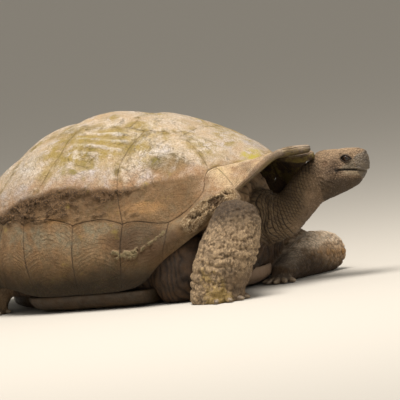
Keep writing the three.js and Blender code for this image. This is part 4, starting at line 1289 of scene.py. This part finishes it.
def makeSkinMaterial():
    look = skinFinish
    material, tree, shader = startMaterial("scaly skin")
    place = addNode(tree, "TexCoord").outputs["Object"]
    broad = useGroup(tree, mottle, Size=14.0, Shift=2.0)
    close = useGroup(tree, mottle, Size=45.0, Shift=5.0)
    pebbles = useGroup(tree, scaleNet, Place=place, Size=210.0, Groove=0.10)
    tiny = useGroup(tree, scaleNet, Place=place, Size=420.0, Groove=0.14)
    farLeg = paint(
        tree, look["farLeg"],
        # the far leg: its top paler with dust and painted light, its low part painted shade
        (("topDustAndLight", remap(tree, close["Cloud"], -0.3, 0.7)), look["farLegPale"]),
        (("scaleTint", 0.35), look["farLegPale"]),
        (("lowShade", 0.85), look["farLegDark"]),
    )
    leg = paint(
        tree, look["leg"],
        (broad["Cloud"], look["legDeep"]),
        (("scaleTint", 0.35), look["mud"]),
        (("mud", remap(tree, close["Mixed"], -0.5, 0.6)), look["mud"]),
        (("cracks", 0.5), look["legDeep"]),
        # painted shadow of the shell's rim
        (("shoulderShadow", 0.9), look["legDeep"]),
        ("leftShare", farLeg),
    )
    # painted shade: the trunk's skin, deep in the pockets under the shell, near black; the collar by the neck
    # paler
    pocketShade = paint(
        tree, look["pocketShade"],
        (broad["Mixed"], look["pocketPale"]),
        (("collar", 0.95), look["collar"]),
    )
    # painted shade in the creases of the neck's net
    netOne = wrinkle(tree, readMask(tree, "netOne"), neckNet[0], 0.55)
    netTwo = times(tree, wrinkle(tree, readMask(tree, "netTwo"), neckNet[1], 0.5), 0.75)
    lines = times(tree, compute(tree, "MAXIMUM", netOne, netTwo), readMask(tree, "neckShare"))
    neck = paint(
        tree, look["neck"],
        (broad["Cloud"], look["neckDeep"]),
        (times(tree, close["Speck"], 0.4), look["neckPale"]),
        (times(tree, lines, 0.95), look["groove"]),
    )
    horn = paint(tree, look["jawHorn"], ("lipHorn", look["lipHorn"]))
    head = paint(
        tree, look["head"],
        # painted highlight on the top of the head
        ("litCrown", look["litCrown"]),
        (remap(tree, broad["Cloud"], 0.2, 0.9, 0.0, 0.35), look["headDark"]),
        (times(tree, close["Cloud"], 0.35), look["headDark"]),
        # painted shade in the cheek's hollow
        ("cheek", look["cheek"]),
        (("headTint", 0.25), look["headPale"]),
        # painted shade in the grooves between the head's scales and in the cheek and throat folds
        (("headNet", 0.65), look["neckDeep"]),
        # painted shade under the jaw
        (("chinShade", 0.8), look["chinShade"]),
        (times(tree, strongest(tree, "jawHorn", "lipHorn"), 0.75), horn),
        (("fold", 0.9), look["neckDeep"]),
        (("ear", 0.6), look["ear"]),
        # painted shade round the eye and under the brow
        (("lid", 0.85), look["lid"]),
    )
    # painted shade: the grooves between scales and the skin's folds darkened; below, the grooves of a fine
    # scale net are darkened too
    grooves = times(tree, strongest(tree, "groovesLarge", "groovesSmall", "folds"), 0.55, clamp=True)
    colour = paint(
        tree, leg,
        ("trunkShare", pocketShade),
        ("neckShare", neck),
        ("headShare", head),
        (("footMud", 0.8), look["footMud"]),
        (grooves, look["groove"]),
        (times(tree, pebbles["Groove"], 0.35), look["groove"]),
        # painted shade: the mouth slit, the nostrils and the gap round each eye near black
        (strongest(tree, "groove", "nostril", "opened"), look["black"]),
    )
    height = compute(tree, "MULTIPLY_ADD", tiny["Height"], 0.35, pebbles["Height"])
    height = compute(tree, "MULTIPLY_ADD", close["Speck"], 0.6, height)
    height = compute(tree, "SUBTRACT", height, times(tree, lines, 2.2))
    dress(tree, shader, colour, remap(tree, close["Cloud"], 0.0, 1.0, 0.62, 0.85), height, 0.0011)
    return material


body = addSkin()


# Eyes: a glossy ball in each socket, with a dark brown iris round a black pupil.
eyeLook = {
    "bulge": 0.0012, "irisRadius": 0.0082, "pupilRadius": 0.0036,
    "pupil": "050403", "iris": "1f130b", "fleck": "38230f", "white": "120c08",
}


def makeEyeMaterial():
    look = eyeLook
    material, tree, shader = startMaterial("wet eye")
    away = readMask(tree, "fromPupil")
    iris = blend(tree, noiseOver(tree, Scale=900.0), look["iris"], look["fleck"])
    outside = remap(tree, away, look["pupilRadius"], look["pupilRadius"] * 1.25)
    beyond = remap(tree, away, look["irisRadius"], look["irisRadius"] * 1.12)
    colour = paint(tree, look["pupil"], (outside, iris), (beyond, look["white"]))
    feed(tree, shader.inputs["Base Color"], colour)
    shader.inputs["Roughness"].default_value = 0.22
    shader.inputs["Specular IOR Level"].default_value = 0.35
    shader.inputs["Coat Weight"].default_value = 0.25
    shader.inputs["Coat Roughness"].default_value = 0.05
    return material


def addEye(side, name, material):
    low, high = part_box(name)
    middle = np.array((low + high) / 2)
    rings, around = 40, 48
    turn = np.arange(around) / around * 2 * math.pi
    points = []
    for k in range(1, rings):
        tilt = k / rings * math.pi
        radius = skin["eyeRadius"] + eyeLook["bulge"] * (1 - smooth(tilt, 0.35, 0.62)) * math.cos(tilt)
        outward = np.full(around, math.cos(tilt))
        ring = np.stack([np.sin(tilt) * np.cos(turn), outward, np.sin(tilt) * np.sin(turn)], 1)
        points.append(ring * radius)
    pole = [[[0, skin["eyeRadius"] + eyeLook["bulge"], 0]], [[0, -skin["eyeRadius"], 0]]]
    local = np.vstack([pole[0], *points, pole[1]])
    fromPupil = np.where(local[:, 1] > 0, np.hypot(local[:, 0], local[:, 2]), 0.03)
    local[:, 1] *= side
    yaw = Matrix.Rotation(math.radians(skin["headYaw"] - side * 14), 3, "Z")
    placed = local @ np.array(yaw).T + middle
    piece = makePiece(name, placed, tubeFaces(rings - 1, around, side > 0), material)
    writeMask(piece.data, "fromPupil", fromPupil)
    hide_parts(name)


eyeMaterial = makeEyeMaterial()
addEye(1, "eye_left", eyeMaterial)
addEye(-1, "eye_right", eyeMaterial)
print("eyes done")


# Horn: the sheath of the beak lies a little proud of the skin and dips under it at its border.
beakFinish = {"dark": "4d443a", "pale": "6f624f", "streak": "2f2720"}


def makeHornMaterial(name, look):
    material, tree, shader = startMaterial(name)
    cloud = useGroup(tree, mottle, Size=60.0, Shift=3.0)
    skinTone = blend(tree, cloud["Mixed"], skinFinish["head"], skinFinish["headDark"])
    border = compute(tree, "ADD", readMask(tree, "border"), times(tree, cloud["Cloud"], -0.25))
    colour = paint(
        tree, look["dark"],
        (cloud["Cloud"], look["pale"]),
        (times(tree, cloud["Speck"], 0.3), look["streak"]),
        (remap(tree, border, 0.0, 0.7), skinTone),
        # painted shade: the nostrils near black
        (remap(tree, readMask(tree, "nostril"), 0.15, 0.6), skinFinish["black"]),
    )
    rough = remap(tree, cloud["Cloud"], 0.0, 1.0, 0.38, 0.6)
    dress(tree, shader, colour, rough, cloud["Speck"], 0.0004, 0.6)
    return material


def readBack(mesh, name):
    values = np.zeros(len(mesh.vertices), np.float32)
    mesh.attributes[name].data.foreach_get("value", values)
    return values


def addBeak(body):
    mesh = body.data
    points, _ = meshArrays(mesh)
    normals = meshNormals(mesh)
    horn = readBack(mesh, "horn")
    share = smooth(horn + 0.25 * layeredNoise(points, 0.012, 2, 71), 0.3, 0.8)
    lifted = points + normals * (-0.0012 + 0.0019 * share)[:, None]
    picked = [p for p in mesh.polygons if all(horn[i] > 0.02 for i in p.vertices)]
    used = sorted({i for p in picked for i in p.vertices})
    index = {old: new for new, old in enumerate(used)}
    faces = [[index[i] for i in p.vertices] for p in picked]
    material = makeHornMaterial("beak horn", beakFinish)
    piece = makePiece("beak_upper", lifted[used], faces, material)
    writeMask(piece.data, "border", 1 - smooth(horn[used], 0.25, 0.95))
    writeMask(piece.data, "nostril", readBack(mesh, "nostril")[used])
    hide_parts("beak_upper")


addBeak(body)


# Claws: blunt nails in a fan round the front of each foot.
claws = {  # middle, reach, heading, number of nails and the fan's spread
    "forefoot_right": ((0.381, -0.376, 0.011), 0.070, -14, 5, 112),
    "forefoot_left": ((0.414, 0.052, 0.012), 0.034, 270, 5, 124),
    "hindfoot_right": ((-0.452, -0.285, 0.011), 0.065, -46, 4, 96),
    "hindfoot_left": ((-0.452, 0.285, 0.011), 0.065, 46, 4, 96),
}
clawSize = {"length": 0.030, "width": 0.0125, "height": 0.0105}
clawFinish = {"dark": "5a4a3c", "pale": "93826a", "streak": "2f261e"}


def addClaws(foot, layout, material):
    around, rings = 24, 20
    turn = np.arange(around) / around * 2 * math.pi
    middle, reach, heading, count, spread = layout
    points, faces = [], []
    for index in range(count):
        angle = math.radians(heading + (index / (count - 1) - 0.5) * spread)
        grid = []
        for k in range(rings + 1):
            share = k / rings
            fullness = math.sqrt(max(1 - (2 * share - 1) ** 2, 0)) ** 0.8
            taper = 1.15 - 0.45 * share
            ridge = 1 + 0.03 * np.sin(turn * 9)
            y = np.cos(turn) * clawSize["width"] * fullness * taper * ridge
            z = np.sin(turn) * clawSize["height"] * fullness * taper
            grid.append(np.stack([np.full(around, (share - 0.5) * 2 * clawSize["length"]), y, z], 1))
        local = np.vstack([grid[0][:1], *grid[1:-1], grid[-1][:1]])
        local[:, 2] -= 0.10 * (local[:, 0] + clawSize["length"] * 0.5)
        x, y = local[:, 0] + reach, local[:, 1]
        turnedX = x * math.cos(angle) - y * math.sin(angle)
        turnedY = x * math.sin(angle) + y * math.cos(angle)
        placed = np.stack([turnedX, turnedY, local[:, 2]], 1) + np.array(middle)
        placed[:, 2] = np.maximum(placed[:, 2], 0.0002)
        start = len(np.vstack(points)) if points else 0
        points.append(placed)
        faces += [[start + i for i in f] for f in tubeFaces(rings - 1, around, True)]
    makePiece("claws_" + foot, np.vstack(points), faces, material)


clawMaterial = makeHornMaterial("claw horn", clawFinish)
for foot, layout in claws.items():
    addClaws(foot, layout, clawMaterial)
print("beak and claws done")


# Plastron: the flat belly plate, with its seams and growth lines.
plastron = {"top": 0.051, "flat": 0.74, "gularRise": 0.013}
# Half of its outline from the front on the left side, x and y in millimetres.
plastronOutline = [
    (388, 0), (379, 50), (350, 92), (304, 124), (262, 178), (206, 236), (168, 306), (144, 388), (40, 399),
    (-100, 397), (-216, 384), (-258, 338), (-288, 262), (-352, 214), (-410, 138), (-424, 54), (-404, 0),
]
plastronSeams = [0.236, 0.128, -0.09, -0.26, -0.35]  # where the seams across it meet the midline


def closedCurve(points, count):
    points = np.array(points, float)
    size = len(points)
    place = np.arange(count) / count * size
    index = place.astype(int)
    t = (place - index)[:, None]
    return throughPoints(*(points[(index + k) % size] for k in (-1, 0, 1, 2)), t)


def addPlastron():
    half = np.array(plastronOutline, float) / 1000
    outline = closedCurve(np.vstack([half, half[1:-1][::-1] * [1, -1]]), 420)
    rise = 1.35 * mix(0.014, 0.024, smooth(np.abs(outline[:, 1]), 0.24, 0.38))
    gular = plastron["gularRise"] * smooth(outline[:, 0], 0.28, 0.37)
    rows, heights = [], []
    count = 56
    for k in range(1, count + 1):
        share = k / count
        rows.append(outline * share)
        edge = rise * np.interp(share, [plastron["flat"], 0.9, 0.965, 1], [0, 0.15, 0.45, 1])
        heights.append(edge + gular * np.interp(share, [plastron["flat"], 0.9, 0.965], [0, 0.5, 1]))
    for height in (0.25, 0.5, 0.75, 1.0):
        rows.append(outline * (1 + 0.012 * math.sin(height * math.pi * 0.75)))
        heights.append(mix(rise, plastron["top"], height) + gular)
    for share, lift in ((0.9, 0.5), (0.8, 0), (0.4, 0)):
        rows.append(outline * share)
        heights.append(plastron["top"] + gular * lift)
    flat = np.vstack(rows)
    height = np.concatenate([np.broadcast_to(h, len(outline)) for h in heights])
    across = np.abs(flat[:, 1])
    seam = peak(flat[:, 1], 0, 0.0022)
    rings = np.full(len(flat), 0.2)
    for place in plastronSeams:
        bend = 0.05 * smooth(across, 0, 0.3) * (1 if place > 0 else -1) + 0.008 * np.sin(across * 40)
        away = np.abs(flat[:, 0] - place - bend)
        seam = np.maximum(seam, peak(away, 0, 0.0022))
        rings = np.minimum(rings, away)
    rings = np.minimum(rings, np.abs(flat[:, 1]))
    under = np.arange(len(flat)) < count * len(outline)
    points = np.column_stack([flat, height])
    noise = layeredNoise(points, 0.03, 3, 81)
    growth = 0.0004 * (1 + np.sin(rings / 0.009 * 2 * math.pi)) * smooth(rings, 0, 0.02)
    worn = 0.0008 * np.clip(noise, 0, 1) + growth
    edge = smooth(np.hypot(*flat.T), 0.2, 0.5)
    points[:, 2] += np.where(under, 0.0022 * seam + worn * (0.3 + edge), 0)
    whole = np.vstack([[[0, 0, 0.0]], points, [[0, 0, plastron["top"]]]])
    faces = tubeFaces(len(rows), len(outline), True)
    piece = makePiece("plastron", whole, faces, makePlastronMaterial())
    writeMask(piece.data, "seam", np.concatenate([[1], seam * under, [0]]))
    writeMask(piece.data, "rings", np.concatenate([[0], rings, [0]]))
    # painted shade on the plastron's raised sides, under the shell
    atSide = smooth(points[:, 2], 0.006, 0.02)
    writeMask(piece.data, "sideShade", np.concatenate([[0], atSide, [1]]))
    writeMask(piece.data, "gularShare", np.concatenate([[0], atSide * smooth(flat[:, 0], 0.30, 0.34), [0]]))
    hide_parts("plastron")


plastronFinish = {
    "plate": "6b5330", "dark": "2b1f0c", "edge": "3d2f17", "side": "3a2609", "gular": "8a725c",
    "seam": "1c130a",
}


def makePlastronMaterial():
    look = plastronFinish
    material, tree, shader = startMaterial("belly plate")
    broad = useGroup(tree, mottle, Size=10.0, Shift=6.0)
    close = useGroup(tree, mottle, Size=40.0, Shift=7.0)
    lines = useGroup(tree, growthLines, Distance=readMask(tree, "rings"), Spacing=0.009)["Line"]
    colour = paint(
        tree, look["plate"],
        (broad["Cloud"], look["dark"]),
        (times(tree, lines, 0.5), look["edge"]),
        (times(tree, close["Speck"], 0.3), look["dark"]),
        # painted shade on the raised sides
        ("sideShade", blend(tree, broad["Mixed"], look["side"], look["dark"])),
        (("gularShare", 0.8), look["gular"]),
        ("seam", look["seam"]),
    )
    height = compute(tree, "SUBTRACT", close["Speck"], lines)
    dress(tree, shader, colour, remap(tree, close["Cloud"], 0.0, 1.0, 0.5, 0.8), height, 0.0007, 0.7)
    return material


addPlastron()
print("plastron done")


lighting = {
    "world": ("eee8de", 0.5),
    "key": ((0.5, -1.3, 4.4), 2.2, 345, "fff8f0"),
    "fill": ((3.8, -3.2, 1.8), 3.0, 40, "f4f2f0"),
    "floor": "bcb8b0", "floorSize": 800,
}


def addLights():
    world = bpy.data.worlds.new("studio")
    world.use_nodes = True
    background = world.node_tree.nodes["Background"]
    background.inputs["Color"].default_value = tone(lighting["world"][0])
    background.inputs["Strength"].default_value = lighting["world"][1]
    bpy.context.scene.world = world
    for name in ("key", "fill"):
        place, size, power, colour = lighting[name]
        lamp = bpy.data.lights.new(name, "AREA")
        lamp.size = size
        lamp.energy = power
        lamp.color = tone(colour)[:3]
        light = bpy.data.objects.new(name, lamp)
        light.location = place
        light.rotation_euler = (Vector((0.1, 0, 0.25)) - Vector(place)).to_track_quat("-Z", "Y").to_euler()
        bpy.context.scene.collection.objects.link(light)


def addFloor():
    material, tree, shader = startMaterial("studio floor")
    shader.inputs["Base Color"].default_value = tone(lighting["floor"])
    shader.inputs["Roughness"].default_value = 0.9
    half = lighting["floorSize"] / 2
    corners = [(x * half, y * half, 0) for x, y in ((-1, -1), (1, -1), (1, 1), (-1, 1))]
    mesh = bpy.data.meshes.new("floor")
    mesh.from_pydata(corners, [], [(0, 1, 2, 3)])
    mesh.materials.append(material)
    floor = bpy.data.objects.new("floor", mesh)
    bpy.context.scene.collection.objects.link(floor)


cameraSet = {
    "azimuth": 24, "elevation": 4, "roll": 6.5, "distance": 14, "aim": (0.160, 0.071, 0.274), "width": 1.24,
}


def addCamera():
    turn, rise, roll = (math.radians(cameraSet[k]) for k in ("azimuth", "elevation", "roll"))
    back = Vector((math.sin(turn) * math.cos(rise), -math.cos(turn) * math.cos(rise), math.sin(rise)))
    level = Vector((math.cos(turn), math.sin(turn), 0))
    upright = back.cross(level)
    right = level * math.cos(roll) - upright * math.sin(roll)
    up = level * math.sin(roll) + upright * math.cos(roll)
    lens = bpy.data.cameras.new("camera")
    lens.sensor_width = 36
    lens.lens = 36 * cameraSet["distance"] / cameraSet["width"]
    lens.clip_end = 2000
    camera = bpy.data.objects.new("camera", lens)
    place = Vector(cameraSet["aim"]) + back * cameraSet["distance"]
    turned = Matrix((right, up, back)).transposed().to_4x4()
    camera.matrix_world = Matrix.Translation(place) @ turned
    bpy.context.scene.collection.objects.link(camera)
    bpy.context.scene.camera = camera


addLights()
addFloor()
addCamera()
print("lights, floor and camera done")
bpy.context.scene.view_settings.view_transform = "Standard"
